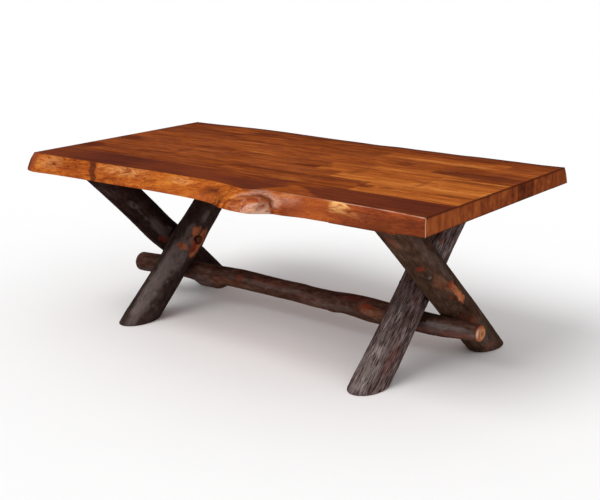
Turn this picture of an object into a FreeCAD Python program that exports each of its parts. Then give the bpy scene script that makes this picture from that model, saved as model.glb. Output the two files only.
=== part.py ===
import FreeCAD, Part
import os
import Sketcher
from FreeCAD import Placement, Rotation, Vector

# Rustic hickory coffee table: a glued stave top with live edges on two crossed pairs of bark-on logs.
# The origin lies on the floor under the middle of the top, +X runs along the top and +Z points up.
# The front, with the burl, faces -Y.

# Driving sizes in millimetres, and one angle in degrees
SIZES = {
    # Top
    "top_length": 1220,
    "top_width": 610,
    "top_thickness": 40,
    "table_height": 447,
    "front_board_width": 110,
    "back_board_width": 83,
    "front_edge_reach": 62,
    "back_edge_reach": 14,
    "end_round": 2.5,
    # Crossed logs
    "base_offset_x": 8,
    "base_offset_y": 6.5,
    "frame_spacing": 833,
    "log_spacing": 79,
    "lean_angle": 46,
    "crossing_height": 186,
    "leg_radius": 40.5,
    "seat_length": 56,
    "seat_margin": 8,
    # Stretcher
    "stretcher_left_reach": 569,
    "stretcher_right_reach": 555,
    "stretcher_radius": 24.7,
    "stretcher_height": 103,
    "stretcher_crook": 16,
    "stretcher_end_round": 6,
    # Cleats
    "cleat_length": 570,
    "cleat_width": 170,
    "cleat_thickness": 19,
    "cleat_bevel": 13,
    # Lag screws through the crossings
    "crossing_shank_radius": 4.75,
    "crossing_shank_length": 125,
    "crossing_head_radius": 8.25,
    "crossing_head_height": 6.5,
    "crossing_washer_radius": 12.5,
    "crossing_washer_thickness": 2.5,
    "crossing_spot_depth": 5,
    # Lag screws from the cleats into the legs
    "leg_shank_radius": 4,
    "leg_shank_length": 63,
    "leg_head_radius": 7.4,
    "leg_head_height": 5,
    "leg_recess_depth": 8,
    "leg_screw_inset": 20,
    # Screws from the stretcher into the legs
    "stretcher_shank_radius": 3.2,
    "stretcher_shank_length": 68,
    "stretcher_head_radius": 6.4,
    "stretcher_head_height": 4.5,
    "stretcher_recess_depth": 8,
    "stretcher_recess_radius": 8,
    # Screws from the cleats into the top
    "cleat_shank_radius": 2.5,
    "cleat_shank_length": 42,
    "cleat_head_radius": 4.8,
    "cleat_head_height": 3.2,
    "cleat_slot_length": 11,
    "cleat_screw_edge": 30,
    "cleat_screw_pitch": 225,
    # Fits
    "drill_clearance": 0.3,
    "recess_clearance": 1,
    "cut_overrun": 30,
}

# Glue lines between the stave rows, from the front board to the back board, as shares of that width
GLUE_LINE_SHARES = (0, 0.22, 0.343, 0.535, 0.607, 0.784, 0.859, 1)

# Butt joints in each row of staves, as shares of the length from the left end
BUTT_JOINT_SHARES = (
    (0.44, 0.775),
    (0.246, 0.676),
    (0.352, 0.607, 0.861),
    (0.156, 0.451, 0.7),
    (0.23, 0.54, 0.816),
    (0.336, 0.725),
    (0.217, 0.615, 0.918),
)

# Front live edge: the place along the half length, then how far the top arris, the middle of the face
# and the bottom arris stand out, as shares of the edge's reach. The burl is near the middle.
FRONT_EDGE_SHARES = (
    (-1, -0.03, 0.2, 0.31),
    (-0.93, -0.02, 0.34, 0.58),
    (-0.8, -0.02, 0.3, 0.53),
    (-0.6, -0.03, 0.27, 0.46),
    (-0.27, -0.1, 0.19, 0.36),
    (-0.03, -0.15, 0.2, 0.4),
    (0.09, -0.09, 0.32, 0.56),
    (0.17, 0.07, 0.6, 0.84),
    (0.24, 0.2, 0.75, 1.02),
    (0.305, 0.02, 0.66, 0.95),
    (0.37, -0.12, 0.4, 0.65),
    (0.44, -0.14, 0.23, 0.47),
    (0.56, -0.13, 0.15, 0.32),
    (0.78, -0.08, 0.14, 0.26),
    (1, 0.1, 0.13, 0.1),
)

# Back live edge, with the same columns
BACK_EDGE_SHARES = (
    (-1, 0.05, 0.45, 0.7),
    (-0.75, 0.35, 0.6, 0.8),
    (-0.45, 0.65, 0.8, 1.07),
    (-0.15, -0.35, 0.1, 0.45),
    (0.2, -1.2, -0.5, 0.1),
    (0.6, -1.5, -0.85, -0.2),
    (1, -1.55, -1.0, -0.45),
)

# Radius of each leg's log at the floor, at its seats, at its neck and at its top, as shares of the
# leg radius
LEG_SHARES = {
    "leg_left_outer": (1.0, 1.03, 1.0, 1.05),
    "leg_left_inner": (1.05, 1.03, 0.98, 1.0),
    "leg_right_outer": (0.97, 1.0, 0.98, 0.99),
    "leg_right_inner": (1.0, 1.0, 0.98, 1.04),
}
NECK_SHARE = 0.6
NECK_WANDER_SHARE = 0.03

# Crooked middle of the stretcher: the place along its half length, its height and its place across as
# shares of the crook, and its radius as a share of the stretcher's own. It swells under its left end and
# at a knot near its right end.
STRETCHER_MIDDLE_SHARES = (
    (-1, -0.5, 0.0, 1.02),
    (-0.87, -0.58, 0.05, 1.14),
    (-0.67, -0.2, 0.15, 1.02),
    (-0.3, -0.18, 0.3, 1.02),
    (0.1, -0.1, 0.1, 0.98),
    (0.43, -0.04, -0.2, 1.02),
    (0.57, 0.04, -0.2, 1.05),
    (0.77, -0.06, -0.1, 1.15),
    (1, -0.06, 0.0, 1.02),
)

# Radius of the stretcher at its seats and at its tip, and the tip's height as a share of the crook, on
# each side
STRETCHER_END_SHARES = {"left": (1.02, 1.08, -1.04), "right": (1.02, 0.79, 0.3)}

document = FreeCAD.newDocument("rustic_hickory_table")
sheet = document.addObject("Spreadsheet::Sheet", "Sizes")
for row, (name, number) in enumerate(SIZES.items(), start=1):
    sheet.set(f"A{row}", name)
    sheet.set(f"B{row}", str(number))
    sheet.setAlias(f"B{row}", name)
document.recompute()

# Places that several pieces share, as rules on the driving sizes
TOP_UNDERSIDE = "(Sizes.table_height - Sizes.top_thickness)"
CLEAT_UNDERSIDE = f"({TOP_UNDERSIDE} - Sizes.cleat_thickness)"
TOP_MIDDLE_Y = "((Sizes.front_edge_reach - Sizes.back_edge_reach) / 2)"
FRONT_GLUE_Y = f"({TOP_MIDDLE_Y} - Sizes.top_width / 2 + Sizes.front_board_width)"
BACK_GLUE_Y = f"({TOP_MIDDLE_Y} + Sizes.top_width / 2 - Sizes.back_board_width)"
BASE_Y = f"({TOP_MIDDLE_Y} + Sizes.base_offset_y)"
LEAN = "(Sizes.lean_angle * 1 deg)"
LEG_TOP_RUN = f"(({CLEAT_UNDERSIDE} - Sizes.crossing_height) * tan({LEAN}))"
SEAT_REACH = "(Sizes.log_spacing / 2 + Sizes.leg_radius + Sizes.seat_margin)"
STRETCHER_MIDDLE_END = f"(Sizes.frame_spacing / 2 - {SEAT_REACH})"

SIDES = {"left": -1, "right": 1}
X_AXIS = Vector(1, 0, 0)
Y_AXIS = Vector(0, 1, 0)
Z_AXIS = Vector(0, 0, 1)


def value(rule):
    """Work out a rule on the driving sizes as a plain number."""
    result = sheet.evalExpression(rule)
    return float(getattr(result, "Value", result))


def bind(thing, **rules):
    """Bind properties of an object to rules on the driving sizes."""
    for name, rule in rules.items():
        thing.setExpression(name, rule)


def place(thing, x="0", y="0", z="0", axis=None, angle=None):
    """Bind an object's position, and its turn about one axis, to rules on the driving sizes."""
    if angle is not None:
        thing.Placement = Placement(Vector(), Rotation(axis, value(angle)))
        thing.setExpression("Placement.Rotation.Angle", angle)
    thing.setExpression("Placement.Base.x", x)
    thing.setExpression("Placement.Base.y", y)
    thing.setExpression("Placement.Base.z", z)


def new_body(label):
    """Start a piece that is built from sketches and features."""
    return document.addObject("PartDesign::Body", label)


def new_sketch(body, role, offset=None):
    """Start a sketch on one of the body's own planes, moved off along its normal if need be."""
    sketch = body.newObject("Sketcher::SketchObject", body.Name + "_sketch")
    plane = next(feature for feature in body.Origin.OriginFeatures if feature.Role == role)
    sketch.AttachmentSupport = [(plane, "")]
    sketch.MapMode = "FlatFace"
    if offset is not None:
        sketch.setExpression("AttachmentOffset.Base.z", offset)
    return sketch


def limit(sketch, kind, *arguments, rule):
    """Add one dimension to a sketch and bind it to a rule."""
    index = sketch.addConstraint(Sketcher.Constraint(kind, *arguments, value(rule)))
    sketch.setExpression(f"Constraints[{index}]", rule)


def pin(sketch, geometry, vertex, across, up):
    """Fix a point of a sketch at bound distances from the sketch's origin."""
    limit(sketch, "DistanceX", -1, 1, geometry, vertex, rule=across)
    limit(sketch, "DistanceY", -1, 1, geometry, vertex, rule=up)


def join(sketch, *pairs):
    """Make pairs of end points of a sketch's lines and curves meet."""
    for pair in pairs:
        sketch.addConstraint(Sketcher.Constraint("Coincident", *pair))


def draw_outline(sketch, points):
    """Draw a closed outline of straight lines through bound points."""
    corners = [Vector(value(across), value(up), 0) for across, up in points]
    ends = corners[1:] + corners[:1]
    lines = [sketch.addGeometry(Part.LineSegment(a, b)) for a, b in zip(corners, ends)]
    join(sketch, *[(here, 2, there, 1) for here, there in zip(lines, lines[1:] + lines[:1])])
    for line, (across, up) in zip(lines, points):
        pin(sketch, line, 1, across, up)


def draw_ring(sketch, across, up, radius):
    """Draw a circle with a bound centre and radius."""
    centre = Vector(value(across), value(up), 0)
    ring = sketch.addGeometry(Part.Circle(centre, Z_AXIS, value(radius)))
    pin(sketch, ring, 3, across, up)
    limit(sketch, "Radius", ring, rule=radius)


def add_pad(body, sketch, length):
    """Pad a sketch by the same amount to both sides of its plane."""
    pad = body.newObject("PartDesign::Pad", body.Name + "_pad")
    pad.Profile = sketch
    pad.SideType = "Symmetric"
    bind(pad, Length=length)
    return pad


def add_loft(body, sketches):
    """Loft a solid through a row of sketches, with straight stretches between them."""
    loft = body.newObject("PartDesign::AdditiveLoft", body.Name + "_loft")
    loft.Profile = sketches[0]
    loft.Sections = sketches[1:]
    loft.Ruled = True


def add_fillet(body, base, chosen, radius):
    """Round the edges of the last feature that a test chooses."""
    document.recompute()
    names = [f"Edge{i}" for i, edge in enumerate(base.Shape.Edges, start=1) if chosen(edge)]
    fillet = body.newObject("PartDesign::Fillet", body.Name + "_round")
    fillet.Base = (base, names)
    bind(fillet, Radius=radius)
    return fillet


def new_link(master, **where):
    """Put another copy of a piece somewhere else."""
    link = document.addObject("App::Link", master.Name + "_copy")
    link.LinkedObject = master
    place(link, **where)
    return link


def new_group(label, members):
    """Gather alike solids in one object."""
    group = document.addObject("Part::Compound", label)
    group.Links = members
    return group


def new_box(label, length, width, height):
    """Make a box that spans from its own origin."""
    box = document.addObject("Part::Box", label)
    bind(box, Length=length, Width=width, Height=height)
    return box


def new_cylinder(label, radius, height):
    """Make a cylinder that rises from its own origin."""
    cylinder = document.addObject("Part::Cylinder", label)
    bind(cylinder, Radius=radius, Height=height)
    return cylinder


def new_fuse(label, members):
    """Join cutting shapes into one."""
    fuse = document.addObject("Part::MultiFuse", label)
    fuse.Shapes = members
    return fuse


def new_cut(label, base, tool):
    """Cut one shape out of another."""
    cut = document.addObject("Part::Cut", label)
    cut.Base = base
    cut.Tool = tool
    return cut


# Top boards
def make_stave(label, row, left_share, right_share):
    """Make one straight stave of the top, with its outer end eased where it is an end of the top."""
    front = f"({BACK_GLUE_Y} - {FRONT_GLUE_Y}) * {GLUE_LINE_SHARES[row]}"
    back = f"({BACK_GLUE_Y} - {FRONT_GLUE_Y}) * {GLUE_LINE_SHARES[row + 1]}"
    half = f"Sizes.top_length * {right_share - left_share} / 2"
    body = new_body(label)
    place(
        body,
        x=f"Sizes.top_length * ({(left_share + right_share) / 2} - 1 / 2)",
        y=f"{FRONT_GLUE_Y} + ({front} + {back}) / 2",
        z=TOP_UNDERSIDE,
    )
    sketch = new_sketch(body, "XZ_Plane")
    thickness = "Sizes.top_thickness"
    draw_outline(sketch, [(f"-{half}", "0"), (half, "0"), (half, thickness), (f"-{half}", thickness)])
    pad = add_pad(body, sketch, f"{back} - {front}")
    outer_ends = [sign for sign, share in ((-1, left_share), (1, right_share)) if share in (0, 1)]
    if outer_ends:
        def at_outer_end(edge):
            box = edge.BoundBox
            sides = [sign * box.XMin > 0 and box.XLength < box.YLength for sign in outer_ends]
            return any(sides)
        add_fillet(body, pad, at_outer_end, "Sizes.end_round")
    return body


def draw_live_outline(sketch, pole_size, poles):
    """Draw a board's outline in plan: a spline along the live edge and straight lines on the rest."""
    half = "Sizes.top_length / 2"
    spots = [Vector(value(across), value(up), 0) for across, up in poles]
    spline = Part.BSplineCurve()
    degree = 3
    last_knot = len(spots) - degree
    ends = [degree + 1]
    spline.buildFromPolesMultsKnots(
        spots, ends + [1] * (last_knot - 1) + ends, list(range(last_knot + 1)), False, degree
    )
    edge = sketch.addGeometry(spline)
    for index, (spot, (across, up)) in enumerate(zip(spots, poles)):
        pole = sketch.addGeometry(Part.Circle(spot, Z_AXIS, pole_size), True)
        alignment = "InternalAlignment:Sketcher::BSplineControlPoint"
        sketch.addConstraint(Sketcher.Constraint(alignment, pole, 3, edge, index))
        pin(sketch, pole, 3, across, up)
    back_left, back_right = Vector(-value(half), 0, 0), Vector(value(half), 0, 0)
    left = sketch.addGeometry(Part.LineSegment(spots[0], back_left))
    glue = sketch.addGeometry(Part.LineSegment(back_left, back_right))
    right = sketch.addGeometry(Part.LineSegment(back_right, spots[-1]))
    join(sketch, (edge, 1, left, 1), (left, 2, glue, 1), (glue, 2, right, 1), (right, 2, edge, 2))
    pin(sketch, glue, 1, f"-{half}", "0")
    pin(sketch, glue, 2, half, "0")


def make_edge_board(label, side, glue_y, width, reach, edge_shares):
    """Make a board with one live edge, lofted from its underside through its middle to its top."""
    body = new_body(label)
    place(body, y=glue_y, z=TOP_UNDERSIDE)
    sketches = []
    for column, height_share in ((3, 0), (2, 1 / 2), (1, 1)):
        poles = [
            (f"Sizes.top_length / 2 * {row[0]}", f"{side} * ({width} + {reach} * {row[column]})")
            for row in edge_shares
        ]
        sketch = new_sketch(body, "XY_Plane", f"Sizes.top_thickness * {height_share}")
        draw_live_outline(sketch, value(reach), poles)
        sketches.append(sketch)
    add_loft(body, sketches)
    return body


# Logs
def log_x(name):
    """Give the rule for a leg's place along the table."""
    side = SIDES[name.split("_")[1]]
    outward = 1 if name.endswith("outer") else -1
    return f"(Sizes.base_offset_x + {side} * (Sizes.frame_spacing + {outward} * Sizes.log_spacing) / 2)"


def log_axis(name):
    """Give the axis about which a leg leans: outer logs rise to the front and inner logs to the back."""
    return X_AXIS if name.endswith("outer") else -X_AXIS


def new_ring(label, along, radius, across="0"):
    """Make a circle across a log's own axis."""
    ring = document.addObject("Part::Circle", label)
    bind(ring, Radius=radius)
    place(ring, x=across, z=along, axis=Z_AXIS, angle="90")
    return ring


def new_level_ring(label, name, along, radius):
    """Make the ellipse in which a level saw cut meets a log that leans."""
    ring = document.addObject("Part::Ellipse", label)
    bind(ring, MajorRadius=f"{radius} / cos({LEAN})", MinorRadius=radius)
    place(ring, axis=Z_AXIS, angle="90")
    tilted = new_group(label + "_tilted", [ring])
    place(tilted, z=along, axis=log_axis(name) * -1, angle="Sizes.lean_angle")
    return tilted


def new_loft(label, rings):
    """Loft a solid through rings, with straight stretches between them."""
    loft = document.addObject("Part::Loft", label)
    loft.Sections = rings
    loft.Solid = True
    loft.Ruled = True
    return loft


def make_log(name):
    """Make a leg's log: a straight stretch at its seats, and a tapering foot and top sawn off level."""
    foot, seat, neck, top = (f"Sizes.leg_radius * {share}" for share in LEG_SHARES[name])
    lower = f"-({stretcher_drop(name)} * cos({LEAN}) + Sizes.seat_length / 2 + Sizes.seat_margin)"
    upper = "(Sizes.seat_length / 2 + Sizes.seat_margin)"
    floor_along = f"-(Sizes.crossing_height / cos({LEAN}))"
    top_along = f"(({CLEAT_UNDERSIDE} - Sizes.crossing_height) / cos({LEAN}))"
    neck_along = f"({upper} + ({top_along} - {upper}) * {NECK_SHARE})"
    straight = new_cylinder(name + "_straight", seat, f"{upper} - {lower}")
    place(straight, z=lower, axis=Z_AXIS, angle="90")
    tapering_foot = new_loft(name + "_foot", [
        new_level_ring(name + "_floor_ring", name, floor_along, foot),
        new_ring(name + "_lower_ring", lower, seat),
    ])
    tapering_top = new_loft(name + "_top", [
        new_ring(name + "_upper_ring", upper, seat),
        new_ring(name + "_neck_ring", neck_along, neck, f"Sizes.leg_radius * {NECK_WANDER_SHARE}"),
        new_level_ring(name + "_top_ring", name, top_along, top),
    ])
    log = new_fuse(name + "_log", [tapering_foot, straight, tapering_top])
    place(log, log_x(name), BASE_Y, "Sizes.crossing_height", log_axis(name), "Sizes.lean_angle")
    return log


def joint_height_share(side_name):
    """Give the height share at which the stretcher's middle meets one of its ends."""
    joint = 0 if side_name == "left" else -1
    return STRETCHER_MIDDLE_SHARES[joint][1]


def stretcher_drop(name):
    """Give the rule for how far the stretcher's centre lies below the crossing at a leg."""
    height_share = joint_height_share(name.split("_")[1])
    return f"(Sizes.crossing_height - Sizes.stretcher_height - Sizes.stretcher_crook * {height_share})"


def seat_offset(name):
    """Give the rule for the distance from a leg's axis to its flat seat for the stretcher."""
    share = "Sizes.leg_radius / (Sizes.leg_radius + Sizes.stretcher_radius)"
    return f"({stretcher_drop(name)} * sin({LEAN}) * {share})"


def make_seat_cutters(name):
    """Make the boxes that plane a leg flat at its crossing and at the stretcher, in the leg's frame."""
    side = SIDES[name.split("_")[1]]
    inward = -side if name.endswith("outer") else side
    depth = "(Sizes.leg_radius + Sizes.cut_overrun)"
    crossing = new_box(name + "_crossing_cutter", depth, f"2 * {depth}", "Sizes.seat_length")
    shift = f"{inward} * Sizes.log_spacing / 2" + (f" - {depth}" if inward < 0 else "")
    place(crossing, shift, f"-{depth}", "-Sizes.seat_length / 2")
    stretcher = new_box(name + "_stretcher_cutter", f"2 * {depth}", depth, "Sizes.seat_length")
    along = f"-{stretcher_drop(name)} * cos({LEAN}) - Sizes.seat_length / 2"
    if name.endswith("outer"):
        place(stretcher, f"-{depth}", f"-{seat_offset(name)} - {depth}", along)
    else:
        place(stretcher, f"-{depth}", seat_offset(name), along)
    cutters = new_fuse(name + "_seat_cutters", [crossing, stretcher])
    place(cutters, log_x(name), BASE_Y, "Sizes.crossing_height", log_axis(name), "Sizes.lean_angle")
    return cutters


def make_leg(name, drillings):
    """Plane a log's seats and drill it."""
    seated = new_cut(name + "_seated", make_log(name), make_seat_cutters(name))
    return new_cut(name, seated, drillings)


def add_ring_loft(body, rings):
    """Loft a stretch of the stretcher through rings: place along it, height, place across and radius."""
    sketches = []
    for along, height, across, radius in rings:
        sketch = new_sketch(body, "YZ_Plane", along)
        draw_ring(sketch, across, height, radius)
        sketches.append(sketch)
    add_loft(body, sketches)


def make_stretcher_log():
    """Build the stretcher: a crooked middle, straight stretches at its seats and rounded tips."""
    body = new_body("stretcher_log")
    place(body, "Sizes.base_offset_x", BASE_Y, "Sizes.stretcher_height")
    middle_rings = [
        (
            f"{STRETCHER_MIDDLE_END} * {along_share}",
            f"Sizes.stretcher_crook * {height_share}",
            f"Sizes.stretcher_crook * {across_share}",
            f"Sizes.stretcher_radius * {radius_share}",
        )
        for along_share, height_share, across_share, radius_share in STRETCHER_MIDDLE_SHARES
    ]
    add_ring_loft(body, middle_rings)
    for side_name, side in SIDES.items():
        height = f"Sizes.stretcher_crook * {joint_height_share(side_name)}"
        seat_share, tip_share, tip_height_share = STRETCHER_END_SHARES[side_name]
        seat_radius = f"Sizes.stretcher_radius * {seat_share}"
        tip_radius = f"Sizes.stretcher_radius * {tip_share}"
        tip_height = f"Sizes.stretcher_crook * {tip_height_share}"
        reach = f"Sizes.stretcher_{side_name}_reach"
        seats = new_sketch(body, "YZ_Plane", f"{side} * Sizes.frame_spacing / 2")
        draw_ring(seats, "0", height, seat_radius)
        add_pad(body, seats, f"2 * {SEAT_REACH}")
        tip_rings = [(f"{side} * (Sizes.frame_spacing / 2 + {SEAT_REACH})", height, "0", seat_radius)]
        for angle in (0, 45, 90):
            along = f"{side} * ({reach} - Sizes.stretcher_end_round * (1 - sin({angle})))"
            radius = f"{tip_radius} - Sizes.stretcher_end_round * (1 - cos({angle}))"
            tip_rings.append((along, tip_height, "0", radius))
        add_ring_loft(body, tip_rings)
    return body


def make_notch_cutter(name):
    """Make the box that notches the stretcher flat where it seats on a leg."""
    depth = "(Sizes.stretcher_radius + Sizes.cut_overrun)"
    width = "(2 * Sizes.leg_radius)"
    cutter = new_box(name + "_notch", width, depth, f"2 * {depth}")
    along = f"-{stretcher_drop(name)} * cos({LEAN}) - {depth}"
    if name.endswith("outer"):
        place(cutter, f"-{width} / 2", f"-{seat_offset(name)}", along)
    else:
        place(cutter, f"-{width} / 2", f"{seat_offset(name)} - {depth}", along)
    leaned = new_group(name + "_notch_cutter", [cutter])
    place(leaned, log_x(name), BASE_Y, "Sizes.crossing_height", log_axis(name), "Sizes.lean_angle")
    return leaned


# Cleats
def make_cleat_blank(side_name):
    """Make a cleat that lies across the top's underside, with bevelled ends."""
    body = new_body(f"cleat_{side_name}_blank")
    x = f"Sizes.base_offset_x + {SIDES[side_name]} * Sizes.frame_spacing / 2"
    place(body, x, BASE_Y, CLEAT_UNDERSIDE)
    half = "Sizes.cleat_length / 2"
    short = f"({half} - Sizes.cleat_bevel)"
    thickness = "Sizes.cleat_thickness"
    right = [(short, "0"), (half, "Sizes.cleat_bevel"), (half, thickness)]
    left = [(f"-{across}", up) for across, up in reversed(right)]
    sketch = new_sketch(body, "YZ_Plane")
    draw_outline(sketch, right + left)
    add_pad(body, sketch, "Sizes.cleat_width")
    return body


# Fasteners: each stands on its bearing face at its own origin, with its head up and its shank down
def make_screw(label, kind, washer_thickness):
    """Make a screw with a hexagonal head over its shank."""
    head = document.addObject("Part::Prism", label + "_head")
    bind(head, Circumradius=f"Sizes.{kind}_head_radius", Height=f"Sizes.{kind}_head_height")
    place(head, z=washer_thickness)
    shank = new_cylinder(label + "_shank", f"Sizes.{kind}_shank_radius", f"Sizes.{kind}_shank_length")
    place(shank, z=f"{washer_thickness} - Sizes.{kind}_shank_length")
    return new_fuse(label, [head, shank])


def make_washer(label, kind):
    """Make a flat washer that fits a screw's shank."""
    thickness = f"Sizes.{kind}_washer_thickness"
    disc = new_cylinder(label + "_disc", f"Sizes.{kind}_washer_radius", thickness)
    bore = new_cylinder(label + "_bore", f"Sizes.{kind}_shank_radius + Sizes.drill_clearance", thickness)
    return new_cut(label, disc, bore)


def make_drill(label, kind, washer_thickness, recess_radius):
    """Make the hole for a screw: a shank hole below the bearing face and a recess above it."""
    deep = f"(Sizes.{kind}_shank_length - {washer_thickness} + Sizes.drill_clearance)"
    hole = new_cylinder(label + "_hole", f"Sizes.{kind}_shank_radius + Sizes.drill_clearance", deep)
    place(hole, z=f"-{deep}")
    recess = new_cylinder(label + "_recess", recess_radius, "Sizes.cut_overrun")
    return new_fuse(label, [hole, recess])


def crossing_places():
    """Give the bearing faces of the screws through the crossings, on the inner sides of the pairs."""
    places = []
    for side_name, side in SIDES.items():
        inner = log_x(f"leg_{side_name}_inner")
        x = f"{inner} - {side} * (Sizes.leg_radius - Sizes.crossing_spot_depth)"
        axis = Y_AXIS * -side
        places.append(dict(x=x, y=BASE_Y, z="Sizes.crossing_height", axis=axis, angle="90"))
    return places


def leg_screw_places():
    """Give the bearing faces of the screws that hold the legs' tops to the cleats."""
    places = []
    for name in LEG_SHARES:
        rise = -1 if name.endswith("outer") else 1
        y = f"{BASE_Y} + {rise} * ({LEG_TOP_RUN} - Sizes.leg_screw_inset)"
        places.append(dict(x=log_x(name), y=y, z=f"{TOP_UNDERSIDE} - Sizes.leg_recess_depth"))
    return places


def stretcher_screw_places():
    """Give the bearing faces of the screws that hold the stretcher to the inner legs."""
    places = []
    depth = "(Sizes.stretcher_radius - Sizes.stretcher_recess_depth)"
    y = f"{BASE_Y} + {depth} * cos({LEAN})"
    for name in ("leg_left_inner", "leg_right_inner"):
        z = f"Sizes.crossing_height - {stretcher_drop(name)} - {depth} * sin({LEAN})"
        places.append(dict(x=log_x(name), y=y, z=z, axis=-X_AXIS, angle="90 + Sizes.lean_angle"))
    return places


def cleat_screw_places():
    """Give the bearing faces of the screws that hold the cleats to the top, clear of the legs' tops."""
    places = []
    for side in SIDES.values():
        for step in (-1, 0, 1):
            across = f"{step * side} * (Sizes.cleat_width / 2 - Sizes.cleat_screw_edge)"
            x = f"Sizes.base_offset_x + {side} * Sizes.frame_spacing / 2 + {across}"
            y = f"{BASE_Y} + {step} * Sizes.cleat_screw_pitch"
            places.append(dict(x=x, y=y, z=CLEAT_UNDERSIDE, axis=X_AXIS, angle="180"))
    return places


def make_slot_cutter():
    """Make the slot in a cleat in which a screw can move across the top's grain."""
    radius = "(Sizes.cleat_shank_radius + Sizes.drill_clearance)"
    straight = f"(Sizes.cleat_slot_length - 2 * {radius})"
    depth = "(Sizes.cleat_thickness + Sizes.drill_clearance)"
    middle = new_box("slot_middle", f"2 * {radius}", straight, depth)
    place(middle, f"-{radius}", f"-{straight} / 2", f"-{depth}")
    ends = []
    for sign in (-1, 1):
        end = new_cylinder("slot_end", radius, depth)
        place(end, y=f"{sign} * {straight} / 2", z=f"-{depth}")
        ends.append(end)
    return new_fuse("slot_cutter", [middle] + ends)


def copies(label, master, places):
    """Group copies of a piece at all the places where it is used."""
    return new_group(label, [new_link(master, **where) for where in places])


def make_fasteners():
    """Make every fastener, and the drillings that take them."""
    crossing_washer = "Sizes.crossing_washer_thickness"
    crossing_recess = "Sizes.crossing_washer_radius + Sizes.recess_clearance"
    leg_recess = "Sizes.leg_head_radius + Sizes.recess_clearance"
    cleat_recess = "Sizes.cleat_head_radius + Sizes.recess_clearance"
    crossing_drill = make_drill("crossing_drill", "crossing", crossing_washer, crossing_recess)
    leg_drill = make_drill("leg_drill", "leg", "0", leg_recess)
    stretcher_drill = make_drill("stretcher_drill", "stretcher", "0", "Sizes.stretcher_recess_radius")
    cleat_drill = make_drill("cleat_drill", "cleat", "0", cleat_recess)
    masters = {
        "crossing_lag_screws": make_screw("crossing_screw", "crossing", crossing_washer),
        "crossing_washers": make_washer("crossing_washer", "crossing"),
        "leg_lag_screws": make_screw("leg_screw", "leg", "0"),
        "stretcher_screws": make_screw("stretcher_screw", "stretcher", "0"),
        "cleat_screws": make_screw("cleat_screw", "cleat", "0"),
    }
    crossing, legs, stretcher, cleats = (
        crossing_places(),
        leg_screw_places(),
        stretcher_screw_places(),
        cleat_screw_places(),
    )
    where = dict(zip(masters, (crossing, crossing, legs, stretcher, cleats)))
    groups = [copies(label, master, where[label]) for label, master in masters.items()]
    log_drillings = new_group("log_drillings", [
        copies("crossing_drillings", crossing_drill, crossing),
        copies("leg_drillings", leg_drill, legs),
        copies("stretcher_drillings", stretcher_drill, stretcher),
    ])
    top_drillings = copies("top_drillings", cleat_drill, cleats)
    slots = copies("cleat_slots", make_slot_cutter(), cleats)
    return groups, log_drillings, top_drillings, slots


def touches(body, tool):
    """Say whether a cutting tool reaches into a piece."""
    return body.Shape.common(tool.Shape).Volume > 0


# Assembly
fasteners, log_drillings, top_drillings, cleat_slots = make_fasteners()

boards = []
for row, joints in enumerate(BUTT_JOINT_SHARES):
    ends = (0,) + joints + (1,)
    for letter, left_share, right_share in zip("abcdef", ends, ends[1:]):
        boards.append(make_stave(f"top_stave_{row + 1}{letter}", row, left_share, right_share))
boards.append(make_edge_board(
    "front_live_edge_board", -1, FRONT_GLUE_Y, "Sizes.front_board_width",
    "Sizes.front_edge_reach", FRONT_EDGE_SHARES,
))
boards.append(make_edge_board(
    "back_live_edge_board", 1, BACK_GLUE_Y, "Sizes.back_board_width",
    "Sizes.back_edge_reach", BACK_EDGE_SHARES,
))
document.recompute()

pieces = {}
for board in boards:
    label = board.Label
    pieces[label] = board
    if touches(board, top_drillings):
        board.Label = label + "_blank"
        pieces[label] = new_cut(label + "_drilled", board, top_drillings)
        pieces[label].Label = label

for name in LEG_SHARES:
    pieces[name] = make_leg(name, log_drillings)

notches = [make_notch_cutter(name) for name in LEG_SHARES]
notched = new_cut("stretcher_notched", make_stretcher_log(), new_fuse("stretcher_notches", notches))
pieces["stretcher"] = new_cut("stretcher", notched, log_drillings)

for side_name in SIDES:
    label = f"cleat_{side_name}"
    slotted = new_cut(label + "_slotted", make_cleat_blank(side_name), cleat_slots)
    pieces[label] = new_cut(label, slotted, log_drillings)

for group in fasteners:
    pieces[group.Name] = group
document.recompute()

# Checks
failed = [thing.Name for thing in document.Objects if {"Invalid", "Error"} & set(thing.State)]
if failed:
    raise RuntimeError(f"these objects did not recompute: {failed}")
for label, piece in pieces.items():
    if piece.Shape.isNull() or not piece.Shape.isValid() or not piece.Shape.Solids:
        raise RuntimeError(f"{label} has no valid shape")
    if piece.Label != label:
        raise RuntimeError(f"{label} is labelled {piece.Label}")

# Export
os.makedirs("parts", exist_ok=True)
for label, piece in pieces.items():
    piece.Shape.exportStep(f"parts/{label}.step")
    box = piece.Shape.optimalBoundingBox()
    print(f"{label}: {len(piece.Shape.Solids)} solid(s), volume {piece.Shape.Volume:.0f}, "
          f"x {box.XMin:.1f}..{box.XMax:.1f}, y {box.YMin:.1f}..{box.YMax:.1f}, "
          f"z {box.ZMin:.1f}..{box.ZMax:.1f}")
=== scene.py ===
import itertools
import math

import bpy
import numpy as np
from mathutils import Matrix, Vector


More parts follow.
